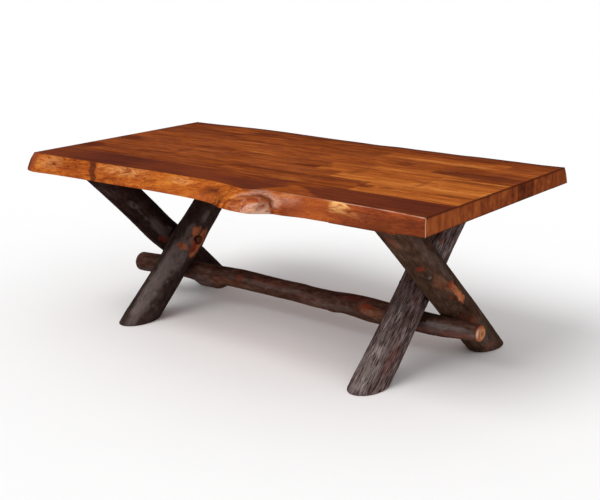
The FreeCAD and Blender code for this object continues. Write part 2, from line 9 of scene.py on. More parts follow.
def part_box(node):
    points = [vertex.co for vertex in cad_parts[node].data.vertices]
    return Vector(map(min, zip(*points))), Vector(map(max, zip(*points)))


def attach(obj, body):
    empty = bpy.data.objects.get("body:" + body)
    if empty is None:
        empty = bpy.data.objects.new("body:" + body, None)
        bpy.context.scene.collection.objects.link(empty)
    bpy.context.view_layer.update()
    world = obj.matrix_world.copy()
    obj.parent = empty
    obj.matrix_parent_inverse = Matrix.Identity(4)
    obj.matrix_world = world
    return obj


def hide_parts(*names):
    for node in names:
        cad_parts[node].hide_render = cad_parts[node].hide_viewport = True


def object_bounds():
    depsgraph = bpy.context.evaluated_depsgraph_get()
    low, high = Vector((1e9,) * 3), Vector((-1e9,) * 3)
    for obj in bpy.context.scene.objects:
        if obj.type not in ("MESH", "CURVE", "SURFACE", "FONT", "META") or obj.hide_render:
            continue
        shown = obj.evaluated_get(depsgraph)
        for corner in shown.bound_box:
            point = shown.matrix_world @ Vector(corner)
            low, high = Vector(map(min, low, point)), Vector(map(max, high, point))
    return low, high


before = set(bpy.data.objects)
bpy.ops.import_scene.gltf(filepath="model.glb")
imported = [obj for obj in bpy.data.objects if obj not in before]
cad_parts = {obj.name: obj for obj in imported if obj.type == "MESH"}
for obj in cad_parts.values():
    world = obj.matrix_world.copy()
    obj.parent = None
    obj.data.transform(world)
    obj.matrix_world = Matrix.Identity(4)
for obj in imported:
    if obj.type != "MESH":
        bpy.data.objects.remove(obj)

cad_low, cad_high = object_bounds()

# Rustic hickory table. Sizes are in millimetres and angles in degrees. A mesh is turned to metres
# when it is made. The front, with the burl, faces -Y, and +X runs to the right along the top.
MM = 0.001


def box_mm(node):
    """Give a node's lowest and highest corners in millimetres."""
    return [np.array(corner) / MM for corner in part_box(node)]


# Places taken from the frame
CROSSING_BOX = box_mm("crossing_lag_screws")
BASE_Y = (CROSSING_BOX[0][1] + CROSSING_BOX[1][1]) / 2
CROSSING_HEIGHT = (CROSSING_BOX[0][2] + CROSSING_BOX[1][2]) / 2
PAIR_X = {side: sum(box_mm(f"cleat_{side}"))[0] / 2 for side in ("left", "right")}
LEG_TOP = box_mm("cleat_left")[0][2]
TOP_LOW, TOP_HIGH = (corner[2] for corner in box_mm("top_stave_1a"))
FRONT_BOX = box_mm("front_live_edge_board")
BACK_BOX = box_mm("back_live_edge_board")
STRETCHER_BOX = box_mm("stretcher")

# Sizes shared with the construction
LOG_SPACING = 79
LEAN = math.radians(46)
LEG_RADIUS = 40.5
SEAT_LENGTH = 56
STRETCHER_RADIUS = 24.7
FRONT_BOARD_WIDTH = 110
BACK_BOARD_WIDTH = 83
SPOT_FACE_RADIUS = 13.5
SPOT_FACE_DEPTH = 5
RECESS_RADIUS = 8
RECESS_DEPTH = 8
STRETCHER_HEIGHTS = {"left": 95, "right": 102}


# Noise and curves
LATTICE = 64
lattices = {}


def value_noise(points, seed):
    """Smooth noise from -1 to 1 at rows of points, from a seeded lattice that repeats."""
    if seed not in lattices:
        lattices[seed] = np.random.RandomState(seed).uniform(-1, 1, (LATTICE,) * 3)
    cell = np.floor(points).astype(int)
    share = points - cell
    share = share * share * (3 - 2 * share)
    total = np.zeros(len(points))
    for corner in itertools.product((0, 1), repeat=3):
        weight = np.prod(np.where(corner, share, 1 - share), axis=1)
        i, j, k = ((cell + corner) % LATTICE).T
        total += weight * lattices[seed][i, j, k]
    return total


def layered_noise(points, size, seed, layers=4, gain=0.5):
    """Noise in several layers, each half the size of the last. Size is that of the first, per axis."""
    points = points / np.array(size, float)
    total, weight, weights = np.zeros(len(points)), 1.0, 0.0
    for layer in range(layers):
        total += weight * value_noise(points * 2**layer + 7.3 * layer, seed)
        weights += weight
        weight *= gain
    return total / weights


def smooth_step(values, low, high):
    """Rise smoothly from 0 at low to 1 at high."""
    share = np.clip((values - low) / (high - low), 0, 1)
    return share * share * (3 - 2 * share)


def curve(table, at, column=1):
    """Run a smooth curve through a column of a table, over the places in its first column."""
    rows = np.array(table, float)
    xs, ys = rows[:, 0], rows[:, column]
    slopes = np.gradient(ys, xs)
    spot = np.clip(np.searchsorted(xs, at, side="right") - 1, 0, len(xs) - 2)
    width = xs[spot + 1] - xs[spot]
    t = np.clip((at - xs[spot]) / width, 0, 1)
    return (
        ys[spot] * (2 * t**3 - 3 * t**2 + 1)
        + slopes[spot] * width * (t**3 - 2 * t**2 + t)
        + ys[spot + 1] * (3 * t**2 - 2 * t**3)
        + slopes[spot + 1] * width * (t**3 - t**2)
    )


def bump_at(across, along, size_across, size_along):
    """A round bump of height 1 that fades to nothing at its own size."""
    distance = np.sqrt((across / size_across) ** 2 + (along / size_along) ** 2)
    return smooth_step(-distance, -1, 0)


def wrap_degrees(angles):
    """Bring angles into -180 to 180."""
    return (angles + 180) % 360 - 180


# Meshes
def tube_object(name, rings, values, vectors, cap_rows):
    """Make a closed mesh from rings of points, with a fan at each end and named values on its points."""
    count, around = rings.shape[:2]
    centres = [rings[0].mean(axis=0), rings[-1].mean(axis=0)]
    vertices = np.concatenate([rings.reshape(-1, 3), centres]) * MM
    here = np.arange(around)
    there = (here + 1) % around
    faces = []
    for row in range(count - 1):
        low, high = row * around, (row + 1) * around
        faces += np.stack([low + here, low + there, high + there, high + here], axis=1).tolist()
    first, last = count * around, count * around + 1
    end = (count - 1) * around
    faces += np.stack([np.full(around, first), there, here], axis=1).tolist()
    faces += np.stack([end + here, end + there, np.full(around, last)], axis=1).tolist()
    mesh = bpy.data.meshes.new(name)
    mesh.from_pydata(vertices.tolist(), [], faces)
    rows = np.repeat(np.arange(count - 1), around)
    is_cap = (rows < cap_rows) | (rows >= count - 1 - cap_rows)
    is_cap = np.concatenate([is_cap, np.ones(2 * around, bool)])
    mesh.polygons.foreach_set("use_smooth", (~is_cap).tolist())
    mesh.polygons.foreach_set("material_index", (is_cap & (cap_rows > 0)).astype(int).tolist())
    for label, data in values.items():
        attribute = mesh.attributes.new(label, "FLOAT", "POINT")
        ends = [data[0].mean(), data[-1].mean()]
        attribute.data.foreach_set("value", np.concatenate([data.ravel(), ends]).astype(np.float32))
    for label, data in vectors.items():
        attribute = mesh.attributes.new(label, "FLOAT_VECTOR", "POINT")
        ends = [data[0].mean(axis=0), data[-1].mean(axis=0)]
        flat = np.concatenate([data.reshape(-1, 3), ends]) * MM
        attribute.data.foreach_set("vector", flat.astype(np.float32).ravel())
    mesh.update()
    made = bpy.data.objects.new(name, mesh)
    bpy.context.scene.collection.objects.link(made)
    return made


def stations(start, stop, step, fine=()):
    """Space places from start to stop, closer together where fine gives (middle, half width, step)."""
    places = [start]
    while places[-1] < stop:
        steps = [step] + [small for middle, half, small in fine if abs(places[-1] - middle) < half]
        places.append(places[-1] + min(steps))
    places = np.array(places)
    return start + (places - start) * (stop - start) / (places[-1] - start)


def add_piece(made, node, materials):
    """Give a new piece its materials, and let it stand for its node."""
    for material in materials:
        made.data.materials.append(material)
    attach(made, "root")
    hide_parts(node)


# Materials
class Graph:
    """A material's nodes, with short ways to add and join them."""

    def __init__(self, name):
        self.material = bpy.data.materials.new(name)
        self.material.use_nodes = True
        self.tree = self.material.node_tree
        self.shader = self.tree.nodes["Principled BSDF"]

    def feed(self, socket, value):
        """Join a socket to another one, or give it a plain value."""
        if isinstance(value, bpy.types.NodeSocket):
            self.tree.links.new(value, socket)
        elif socket.type == "RGBA" and len(value) == 3:
            socket.default_value = (*value, 1)
        else:
            socket.default_value = value

    def add(self, kind, inputs=None, **settings):
        node = self.tree.nodes.new(kind)
        for key, setting in settings.items():
            setattr(node, key, setting)
        for key, value in (inputs or {}).items():
            self.feed(node.inputs[key], value)
        return node

    def places(self):
        return self.add("ShaderNodeTexCoord").outputs["Object"]

    def normal(self):
        return self.add("ShaderNodeTexCoord").outputs["Normal"]

    def mark(self, name, output="Fac"):
        """Read a value that the mesh carries."""
        return self.add("ShaderNodeAttribute", attribute_name=name).outputs[output]

    def stretched(self, vector, sizes, shift):
        """Divide a vector by sizes in millimetres, so that one unit is one such size."""
        scale = tuple(1 / (size * MM) for size in sizes)
        inputs = {0: vector, 1: scale, 2: shift}
        return self.add("ShaderNodeVectorMath", inputs, operation="MULTIPLY_ADD").outputs[0]

    def noise(self, places, sizes, shift=(0, 0, 0), detail=3, roughness=0.55, distortion=0):
        """Noise from 0 to 1, whose first layer has these sizes in millimetres."""
        vector = self.stretched(places, sizes, shift)
        inputs = {"Vector": vector, "Scale": 1, "Detail": detail, "Roughness": roughness,
                  "Distortion": distortion}
        return self.add("ShaderNodeTexNoise", inputs).outputs[0]

    def pores(self, places, sizes, shift=(0, 0, 0)):
        """Small round pores, one to each cell of these sizes in millimetres."""
        inputs = {"Vector": self.stretched(places, sizes, shift), "Scale": 1}
        return self.remap(self.add("ShaderNodeTexVoronoi", inputs).outputs["Distance"], 0.3, 0.12)

    def math(self, operation, first, second=0.0, third=0.0):
        inputs = {0: first, 1: second, 2: third}
        return self.add("ShaderNodeMath", inputs, operation=operation).outputs[0]

    def times(self, first, second):
        return self.math("MULTIPLY", first, second)

    def plus(self, level, part, strength):
        """Add a part to a level, times a strength."""
        return self.math("MULTIPLY_ADD", part, strength, level)

    def swing(self, level, *parts):
        """Move a level up and down by parts that run from 0 to 1, each with its strength."""
        for part, strength in parts:
            level = self.plus(level, self.math("SUBTRACT", part, 0.5), strength)
        return level

    def remap(self, value, low, high, to_low=0.0, to_high=1.0):
        inputs = {"Value": value, "From Min": low, "From Max": high, "To Min": to_low, "To Max": to_high}
        node = self.add("ShaderNodeMapRange", inputs, interpolation_type="SMOOTHSTEP")
        return node.outputs["Result"]

    def broken(self, name, part, low, high, to_low=0.0, to_high=1.0):
        """Read a mark from the mesh, and break it up by a noise."""
        return self.times(self.mark(name), self.remap(part, low, high, to_low, to_high))

    def split(self, vector):
        return self.add("ShaderNodeSeparateXYZ", {0: vector}).outputs

    def paint(self, base, share, colour, strength=1):
        """Lay a colour over a base by a share, times a strength."""
        if strength != 1:
            share = self.times(share, strength)
        return self.add("ShaderNodeMix", {0: share, 6: base, 7: colour}, data_type="RGBA").outputs[2]

    def ramp(self, value, stops):
        node = self.add("ShaderNodeValToRGB", {0: value})
        elements = node.color_ramp.elements
        while len(elements) < len(stops):
            elements.new(0.5)
        for element, (position, colour) in zip(elements, stops):
            element.position = position
            element.color = (*colour, 1)
        return node.outputs[0]

    def bump(self, height, distance, strength):
        inputs = {"Height": height, "Distance": distance * MM, "Strength": strength}
        return self.add("ShaderNodeBump", inputs).outputs[0]

    def spot(self, places, x, y, half_x, half_y, ragged):
        """A soft patch round a place in millimetres, with an edge that a noise makes ragged."""
        middle = (-x * MM, -y * MM, 0)
        scale = (1 / (half_x * MM), 1 / (half_y * MM), 0)
        moved = self.add("ShaderNodeVectorMath", {0: places, 1: middle}, operation="ADD").outputs[0]
        sized = self.add("ShaderNodeVectorMath", {0: moved, 1: scale}, operation="MULTIPLY").outputs[0]
        distance = self.add("ShaderNodeVectorMath", {0: sized}, operation="LENGTH").outputs["Value"]
        return self.remap(self.plus(distance, ragged, 1.6), 1.9, 1.3)

    def finish(self, colour, roughness, normal, specular):
        self.feed(self.shader.inputs["Base Color"], colour)
        self.feed(self.shader.inputs["Roughness"], roughness)
        self.feed(self.shader.inputs["Normal"], normal)
        self.shader.inputs["Specular IOR Level"].default_value = specular
        return self.material


# Levels of the gloss: low, because the white room shows strongly in a surface seen at a flat angle
WOOD_SPECULAR = 0.0002
BARK_SPECULAR = 0.0005
CUT_SPECULAR = 0.02
STEEL_SPECULAR = 0.1

# Wood of the top: colours from the darkest heartwood to the palest, on its faces and on its sawn ends
WOOD_STOPS = (
    (0.0, (0.055, 0.009, 0.004)), (0.2, (0.12, 0.022, 0.006)), (0.4, (0.21, 0.043, 0.008)),
    (0.6, (0.33, 0.078, 0.013)), (0.8, (0.46, 0.125, 0.021)), (1.0, (0.64, 0.23, 0.05)),
)
END_STOPS = (
    (0.0, (0.05, 0.011, 0.005)), (0.25, (0.12, 0.026, 0.01)), (0.5, (0.23, 0.053, 0.016)),
    (0.75, (0.36, 0.095, 0.026)), (1.0, (0.52, 0.19, 0.045)),
)
# Heart and golden sapwood of the live-edge boards
HEART_STOPS = ((0.1, (0.05, 0.011, 0.008)), (0.45, (0.1, 0.02, 0.01)), (0.9, (0.19, 0.038, 0.011)))
SAP_STOPS = (
    (0.0, (0.07, 0.014, 0.005)), (0.22, (0.17, 0.032, 0.008)), (0.42, (0.32, 0.068, 0.013)),
    (0.6, (0.46, 0.118, 0.018)), (0.8, (0.6, 0.2, 0.032)), (1.0, (0.78, 0.38, 0.09)),
)
# Single colours of the wood
DARK_STREAK = (0.085, 0.015, 0.006)
PALE_STREAK = (0.6, 0.2, 0.042)
PORE_COLOUR = (0.06, 0.011, 0.004)
END_PORE_COLOUR = (0.05, 0.01, 0.004)
# Painted highlight along the front board's eased top arris and down its right front corner
ARRIS_HIGHLIGHT_COLOUR = (0.6, 0.34, 0.24)
STAVE_BLUSH = (0.34, 0.092, 0.035)
STAVE_RIM = (0.05, 0.01, 0.005)
BOARD_RIM = (0.05, 0.012, 0.007)
SEAM_COLOUR = (0.04, 0.008, 0.003)
SAP_RED = (0.32, 0.065, 0.028)
# Pale pink of the burl and the edge, also used for a pink-silver highlight painted in the burl
SAP_PINK_AND_HIGHLIGHT = (0.72, 0.41, 0.3)
SAP_YELLOW = (0.87, 0.46, 0.17)
EDGE_DARK = (0.085, 0.02, 0.009)


def wood_figure(graph, places, shift):
    """Give the growth bands, long and short streaks, fibres and pores of wood with its grain along X."""
    drift = graph.noise(places, (420, 70, 70), shift, 2)
    _, y, z = graph.split(graph.stretched(places, (1000, 9, 30), shift))
    bands = graph.math("FRACT", graph.math("ADD", graph.plus(y, drift, 9), z))
    rings = graph.times(graph.remap(bands, 0.15, 0.95), graph.remap(bands, 1.0, 0.93))
    clouds = graph.noise(places, (150, 14, 30), shift, 3, 0.6, 0.7)
    flame = graph.noise(places, (46, 5, 10), shift, 3, 0.6, 0.5)
    fibres = graph.noise(places, (38, 0.9, 0.9), shift, 3, 0.7)
    pores = graph.remap(graph.noise(places, (9, 0.45, 0.45), shift, 1), 0.62, 0.75)
    return rings, clouds, flame, fibres, pores


def wood_level(graph, figure, tone):
    """Put a wood's figure together into one level for its colours, about its tone."""
    rings, clouds, flame, fibres, _ = figure
    return graph.swing(graph.plus(tone, rings, 0.07), (clouds, 1.05), (flame, 0.62), (fibres, 0.2))


# Width of the growth rings in sawn ends, and the height above the floor that they curve about
RING_WIDTH = 3.4
PITH_HEIGHT = 60


def end_wood(graph, places, shift, tone, blocks, block_strength, pore_strength):
    """Give the colour of end grain seen along X: rings, blocks of tone and pores."""
    _, y, z = graph.split(places)
    across = graph.math("ADD", y, shift[1] * 4 * MM)
    up = graph.math("ADD", z, -PITH_HEIGHT * MM)
    square = graph.math("ADD", graph.times(across, across), graph.times(up, up))
    radius = graph.math("DIVIDE", graph.math("SQRT", square), RING_WIDTH * MM)
    bands = graph.math("FRACT", graph.plus(radius, graph.noise(places, (25, 25, 25), shift, 2), 2.5))
    pores = graph.pores(places, (30, 0.8, 0.8), shift)
    level = graph.swing(graph.plus(tone, bands, 0.1), (blocks, block_strength))
    return graph.paint(graph.ramp(level, END_STOPS), pores, END_PORE_COLOUR, pore_strength)


def seam_mask(graph, places, low, high, open_ends):
    """Mask a thin line along a stave's glue lines and butt joints."""
    x, y, _ = graph.split(places)
    sides = [(y, low.y), (high.y, y)]
    if not open_ends[0]:
        sides.append((x, low.x))
    if not open_ends[1]:
        sides.append((high.x, x))
    gaps = [graph.math("SUBTRACT", *side) for side in sides]
    nearest = gaps[0]
    for gap in gaps[1:]:
        nearest = graph.math("MINIMUM", nearest, gap)
    return graph.remap(nearest, 0.7 * MM, 0.15 * MM)


# Tone of each stave from dark to pale, and how far it leans from golden brown to pink
STAVES = {
    "1a": (0.33, 0.5), "1b": (0.42, 0.4), "1c": (0.65, 0.15),
    "2a": (0.39, 0.5), "2b": (0.46, 0.8), "2c": (0.74, 0.1),
    "3a": (0.36, 0.6), "3b": (0.4, 0.5), "3c": (0.6, 0.2), "3d": (0.68, 0.1),
    "4a": (0.39, 0.5), "4b": (0.5, 0.6), "4c": (0.5, 0.3), "4d": (0.6, 0.2),
    "5a": (0.39, 0.5), "5b": (0.43, 0.5), "5c": (0.46, 0.3), "5d": (0.4, 0.5),
    "6a": (0.33, 0.4), "6b": (0.38, 0.4), "6c": (0.46, 0.3),
    "7a": (0.34, 0.3), "7b": (0.38, 0.3), "7c": (0.55, 0.1), "7d": (0.38, 0.8),
}

# Tones of the sawn ends of the staves that reach the right end, from the front to the back
END_TONES = {"1c": 0.5, "2c": 0.42, "3d": 0.46, "4d": 0.36, "5d": 0.2, "6c": 0.4, "7d": 0.42}
PLAIN_END_TONE = 0.34

# Dark patches and pale ones in the top: place along and across, half sizes, strength
DARK_PATCHES = (
    (500, 98, 120, 30, 0.7), (110, -100, 170, 10, 0.8), (346, -118, 22, 15, 0.8),
    (398, -112, 20, 8, 0.6), (560, -100, 50, 9, 0.5), (-350, 228, 26, 34, 0.55),
    (-570, 25, 55, 26, 0.8), (-585, -110, 50, 30, 0.75), (-600, 200, 24, 90, 0.4),
    (-60, -152, 260, 6, 0.35), (500, 118, 100, 8, 0.6), (560, 62, 70, 8, 0.7),
    (-500, 235, 120, 10, 0.4), (-140, 2, 50, 8, 0.6), (92, -8, 42, 12, 0.7), (140, 14, 14, 14, 0.6),
    (155, 212, 26, 28, 0.55), (282, 134, 26, 16, 0.55), (520, 34, 90, 12, 0.6),
    (-470, -103, 140, 7, 0.45), (-585, -130, 40, 44, 0.5), (-440, 205, 120, 8, 0.4),
    (20, 120, 60, 6, 0.45), (-300, -40, 14, 50, 0.4), (238, 8, 16, 34, 0.35),
    (441, -40, 7, 34, 0.45), (-120, -150, 60, 9, 0.4), (560, 150, 50, 7, 0.4),
)
PALE_PATCHES = (
    (365, 198, 130, 15, 0.6), (430, -70, 170, 22, 0.35), (560, -150, 60, 8, 0.35),
    (-480, 262, 120, 12, 0.3), (300, 60, 90, 10, 0.4), (-110, 52, 60, 7, 0.4),
    (140, -150, 60, 9, 0.35), (420, -160, 110, 6, 0.4), (-230, 150, 60, 8, 0.3), (480, 0, 90, 14, 0.3),
)


def end_rim(graph, places):
    """Mask a darker line along the arrises of the two ends."""
    x, _, z = graph.split(places)
    near_end = graph.remap(graph.math("ABSOLUTE", x), cad_high.x - 5 * MM, cad_high.x - MM)
    at_top = graph.remap(z, (TOP_HIGH - 5) * MM, (TOP_HIGH - 1.5) * MM)
    at_bottom = graph.remap(z, (TOP_LOW + 4) * MM, (TOP_LOW + 1) * MM)
    return graph.times(near_end, graph.math("MAXIMUM", at_top, at_bottom))


def make_stave_wood(name, index):
    """Stain-finished hardwood with its own tone, for one stave."""
    tone, pinkness = STAVES[name]
    low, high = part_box(f"top_stave_{name}")
    graph = Graph(f"stave_wood_{name}")
    places = graph.places()
    # Each stave takes its figure from another place in the noise
    shift = (index * 3.71, index * 1.93 % 11 - 5, index * 2.37)
    figure = wood_figure(graph, places, shift)
    clouds, flame, fibres, pores = figure[1:]
    face = graph.ramp(wood_level(graph, figure, tone), WOOD_STOPS)
    blush = graph.remap(graph.noise(places, (120, 26, 30), shift, 2), 0.35, 0.65)
    face = graph.paint(face, graph.times(blush, pinkness), STAVE_BLUSH, 0.45)
    ragged = graph.math("SUBTRACT", graph.noise(places, (30, 4, 4), (3, 5, 7), 3, 0.65), 0.1)
    for patches, colour in ((PALE_PATCHES, PALE_STREAK), (DARK_PATCHES, DARK_STREAK)):
        for x, y, half_x, half_y, strength in patches:
            reach_x, reach_y = 1.3 * half_x * MM, 1.3 * half_y * MM
            if low.x - reach_x < x * MM < high.x + reach_x and low.y - reach_y < y * MM < high.y + reach_y:
                patch = graph.spot(places, x, y, half_x, half_y, ragged)
                patch = graph.times(patch, graph.remap(flame, 0.3, 0.55, 0.35))
                face = graph.paint(face, patch, colour, strength)
    dashes = graph.remap(graph.noise(places, (26, 3.2, 6), shift, 2, 0.5, 0.4), 0.6, 0.7)
    face = graph.paint(face, dashes, DARK_STREAK, 0.6)
    face = graph.paint(face, pores, PORE_COLOUR, 0.4)
    blocks = graph.noise(places, (60, 16, 26), shift)
    end = end_wood(graph, places, shift, END_TONES.get(name, PLAIN_END_TONE), blocks, 0.95, 0.45)
    facing = graph.math("ABSOLUTE", graph.split(graph.normal())[0])
    colour = graph.paint(face, graph.remap(facing, 0.55, 0.8), end)
    colour = graph.paint(colour, end_rim(graph, places), STAVE_RIM, 0.75)
    open_ends = (low.x < cad_low.x + MM, high.x > cad_high.x - MM)
    seam = seam_mask(graph, places, low, high, open_ends)
    colour = graph.paint(colour, seam, SEAM_COLOUR, 0.45)
    height = graph.plus(graph.plus(fibres, pores, -0.6), seam, -1.2)
    return graph.finish(colour, graph.plus(0.34, clouds, 0.12), graph.bump(height, 0.12, 0.7), WOOD_SPECULAR)


def make_board_wood(name, shift, end_tone, corner_highlight):
    """Live-edge board: dark heartwood and paler wood on top, golden sapwood on the natural edge."""
    graph = Graph(name)
    places = graph.places()
    figure = wood_figure(graph, places, shift)
    clouds, flame, fibres, pores = figure[1:]
    tone = graph.mark("tone")
    heart_level = graph.swing(graph.mark("warmth"), (clouds, 0.9), (flame, 0.5), (fibres, 0.3))
    heart = graph.ramp(heart_level, HEART_STOPS)
    colour = graph.paint(graph.ramp(wood_level(graph, figure, tone), WOOD_STOPS), graph.mark("heart"), heart)

    # Sapwood of the edge: curls, lines and specks, with swirling bands in the burl
    curl = graph.noise(places, (34, 16, 9), (9, 3, 1), 4, 0.62, 1.1)
    lines = graph.noise(places, (30, 6, 3), (1, 3, 8), 3, 0.6, 0.9)
    specks = graph.noise(places, (9, 4, 2.6), (4, 3, 8), 3, 0.6, 0.6)
    sap_level = graph.swing(tone, (curl, 0.75), (lines, 0.7), (specks, 0.4))
    swirl = graph.math("SINE", graph.plus(graph.mark("swirl"), curl, 5))
    sap_level = graph.plus(sap_level, graph.times(swirl, graph.mark("burl")), 0.13)
    sap = graph.ramp(sap_level, SAP_STOPS)
    sap = graph.paint(sap, graph.broken("blush", lines, 0.3, 0.6, 0.4), SAP_RED)
    # Pink wood, with a painted pink-silver highlight in the burl's core and along its rays
    sap = graph.paint(sap, graph.broken("pink_and_highlight", specks, 0.3, 0.6, 0.35), SAP_PINK_AND_HIGHLIGHT)
    sap = graph.paint(sap, graph.broken("yellow", curl, 0.35, 0.6), SAP_YELLOW)
    on_edge = graph.mark("sap")
    colour = graph.paint(colour, on_edge, sap)
    colour = graph.paint(colour, graph.broken("dark", lines, 0.25, 0.6, 0.6), EDGE_DARK)
    # A pale line painted along the eased top arris: a painted highlight
    colour = graph.paint(colour, graph.mark("arris_highlight"), ARRIS_HIGHLIGHT_COLOUR)

    # Sawn ends, their darker rims and the painted highlight down the right front corner
    blocks = graph.noise(places, (60, 14, 40), shift)
    end = end_wood(graph, places, (0, -3, 0), end_tone, blocks, 0.8, 0.4)
    facing_x, facing_y, _ = graph.split(graph.normal())
    across = graph.math("ABSOLUTE", facing_x)
    colour = graph.paint(colour, graph.remap(across, 0.75, 0.93), end)
    rim = graph.times(graph.remap(across, 0.15, 0.4), graph.remap(across, 0.96, 0.8))
    colour = graph.paint(colour, graph.math("MAXIMUM", rim, end_rim(graph, places)), BOARD_RIM, 0.7)
    # The right front corner gets the same painted highlight
    corner = graph.times(graph.remap(facing_x, 0.2, 0.5), graph.remap(facing_y, -0.2, -0.5))
    colour = graph.paint(colour, corner, ARRIS_HIGHLIGHT_COLOUR, corner_highlight)
    height = graph.math("ADD", graph.plus(fibres, pores, -0.5), graph.times(lines, on_edge))
    return graph.finish(colour, graph.plus(0.32, curl, 0.14), graph.bump(height, 0.3, 0.7), WOOD_SPECULAR)


# Colours of the bark's painted sheen, a painted highlight, and of its flecks and streaks, of the wood where
# it has peeled, and of its marks
PAINTED_SHEEN_COLOUR = (0.18, 0.142, 0.134)
FLECK_COLOUR = (0.22, 0.17, 0.15)
STREAK_COLOUR = (0.4, 0.35, 0.345)
FLESH_STOPS = ((0.3, (0.14, 0.034, 0.016)), (0.55, (0.35, 0.105, 0.042)), (0.8, (0.5, 0.19, 0.09)))
RED_COLOUR = (0.2, 0.028, 0.014)
# Painted highlight on the stretcher's right shoulder
SHOULDER_HIGHLIGHT_COLOUR = (0.7, 0.47, 0.32)
CUT_COLOUR = (0.06, 0.022, 0.011)
KNOT_COLOUR = (0.013, 0.007, 0.006)


def make_bark(name, shades, furrow):
    """Sealed hickory bark, with painted sheens and a painted highlight on a shoulder, both painted light, and
    with peeled patches and knots where the mesh names them.
    """
    dark, middle, pale = shades
    graph = Graph(name)
    places = graph.mark("log", "Vector")
    mottle = graph.noise(places, (14, 14, 30), detail=4, roughness=0.65, distortion=0.5)
    patches = graph.noise(places, (40, 40, 100), (5, 2, 8))
    grain = graph.noise(places, (1.6, 1.6, 26), (3, 1, 4), 3, 0.65)
    fine = graph.noise(places, (1.7, 1.7, 26), (9, 2, 4), 2, 0.5)
    level = graph.swing(0.38, (graph.mark("relief"), 0.7), (mottle, 0.7), (patches, 0.75), (grain, 0.45))
    colour = graph.ramp(level, ((0.0, dark), (0.45, middle), (1.0, pale)))
    # Pale sheens painted where light falls on the bark: a painted highlight
    colour = graph.paint(colour, graph.broken("painted_sheen", mottle, 0.2, 0.6, 0.45), PAINTED_SHEEN_COLOUR)
    flecks = graph.remap(graph.noise(places, (3, 3, 6), (7, 7, 1), 2, 0.6), 0.66, 0.74)
    colour = graph.paint(colour, flecks, FLECK_COLOUR, 0.3)
    # The pale streaks show more strongly inside the painted highlight
    painted_sheen_boost = graph.plus(0.35, graph.mark("painted_sheen"), 0.8)
    colour = graph.paint(colour, graph.times(graph.broken("streak", fine, 0.5, 0.58), painted_sheen_boost), STREAK_COLOUR)
    colour = graph.paint(colour, graph.remap(fine, 0.47, 0.4), dark, 0.8 * furrow)
    flesh = graph.ramp(graph.plus(graph.times(mottle, 0.5), grain, 0.7), FLESH_STOPS)
    colour = graph.paint(colour, graph.broken("peel", mottle, 0.25, 0.5, 0.35), flesh)
    colour = graph.paint(colour, graph.broken("red", mottle, 0.3, 0.55, 0.3, 0.95), RED_COLOUR)
    # A painted highlight on a shoulder, then the cut seats and the knots' eyes
    for mark, paint in (("shoulder_highlight", SHOULDER_HIGHLIGHT_COLOUR), ("cut", CUT_COLOUR), ("knot", KNOT_COLOUR)):
        colour = graph.paint(colour, graph.mark(mark), paint)
    normal = graph.bump(graph.plus(grain, mottle, 0.8), 0.5 + 0.5 * furrow, 0.8)
    return graph.finish(colour, graph.plus(0.3 + 0.12 * furrow, mottle, 0.25), normal, BARK_SPECULAR)


# Colours of a log's sawn end from its pith to its rim, and those of its rings and pores
LOG_END_STOPS = (
    (0.1, (0.2, 0.07, 0.022)), (0.35, (0.33, 0.13, 0.045)), (0.7, (0.42, 0.19, 0.075)),
    (0.88, (0.56, 0.25, 0.14)), (1.0, (0.42, 0.15, 0.06)),
)
LOG_RING = (0.28, 0.1, 0.04)
LOG_PORE = (0.15, 0.05, 0.02)
LOG_RINGS = 11


def make_end_grain():
    """Sawn or worn end of a log: pith, rings and a darker rim."""
    graph = Graph("log_end_grain")
    radius = graph.mark("radial")
    places = graph.mark("log", "Vector")
    wobble = graph.noise(places, (12, 12, 12))
    bands = graph.math("FRACT", graph.plus(graph.times(wobble, 1.6), radius, LOG_RINGS))
    colour = graph.paint(graph.ramp(radius, LOG_END_STOPS), graph.remap(bands, 0.5, 1.0), LOG_RING, 0.3)
    colour = graph.paint(colour, graph.pores(places, (0.9, 0.9, 9)), LOG_PORE, 0.3)
    normal = graph.bump(graph.math("ADD", bands, wobble), 0.25, 0.6)
    return graph.finish(colour, 0.5, normal, CUT_SPECULAR)


# The hidden cleats and the steel
CLEAT_TONE = 0.24
CLEAT_PORE = (0.05, 0.014, 0.006)
STEEL_STOPS = ((0.3, (0.03, 0.01, 0.006)), (0.55, (0.1, 0.028, 0.011)), (0.8, (0.18, 0.055, 0.022)))
STEEL_METALLIC = 0.1


def make_cleat_wood():
    """Plain brown hardwood of the hidden cleats, with its grain along Y."""
    graph = Graph("cleat_wood")
    x, y, z = graph.split(graph.places())
    turned = graph.add("ShaderNodeCombineXYZ", {0: y, 1: x, 2: z}).outputs[0]
    figure = wood_figure(graph, turned, (8, 2, 5))
    fibres, pores = figure[3:]
    colour = graph.ramp(wood_level(graph, figure, CLEAT_TONE), WOOD_STOPS)
    colour = graph.paint(colour, pores, CLEAT_PORE, 0.4)
    normal = graph.bump(graph.plus(fibres, pores, -0.6), 0.15, 0.7)
    return graph.finish(colour, graph.plus(0.42, fibres, 0.15), normal, CUT_SPECULAR)


def make_screw_steel():
    """Brown oxidised steel with a little staining."""
    graph = Graph("screw_steel")
    places = graph.places()
    stains = graph.noise(places, (6, 6, 6), detail=4, roughness=0.6)
    scratches = graph.noise(places, (0.5, 0.5, 4), detail=2)
    graph.shader.inputs["Metallic"].default_value = STEEL_METALLIC
    normal = graph.bump(scratches, 0.05, 0.5)
    return graph.finish(graph.ramp(stains, STEEL_STOPS), graph.plus(0.4, stains, 0.3), normal, STEEL_SPECULAR)


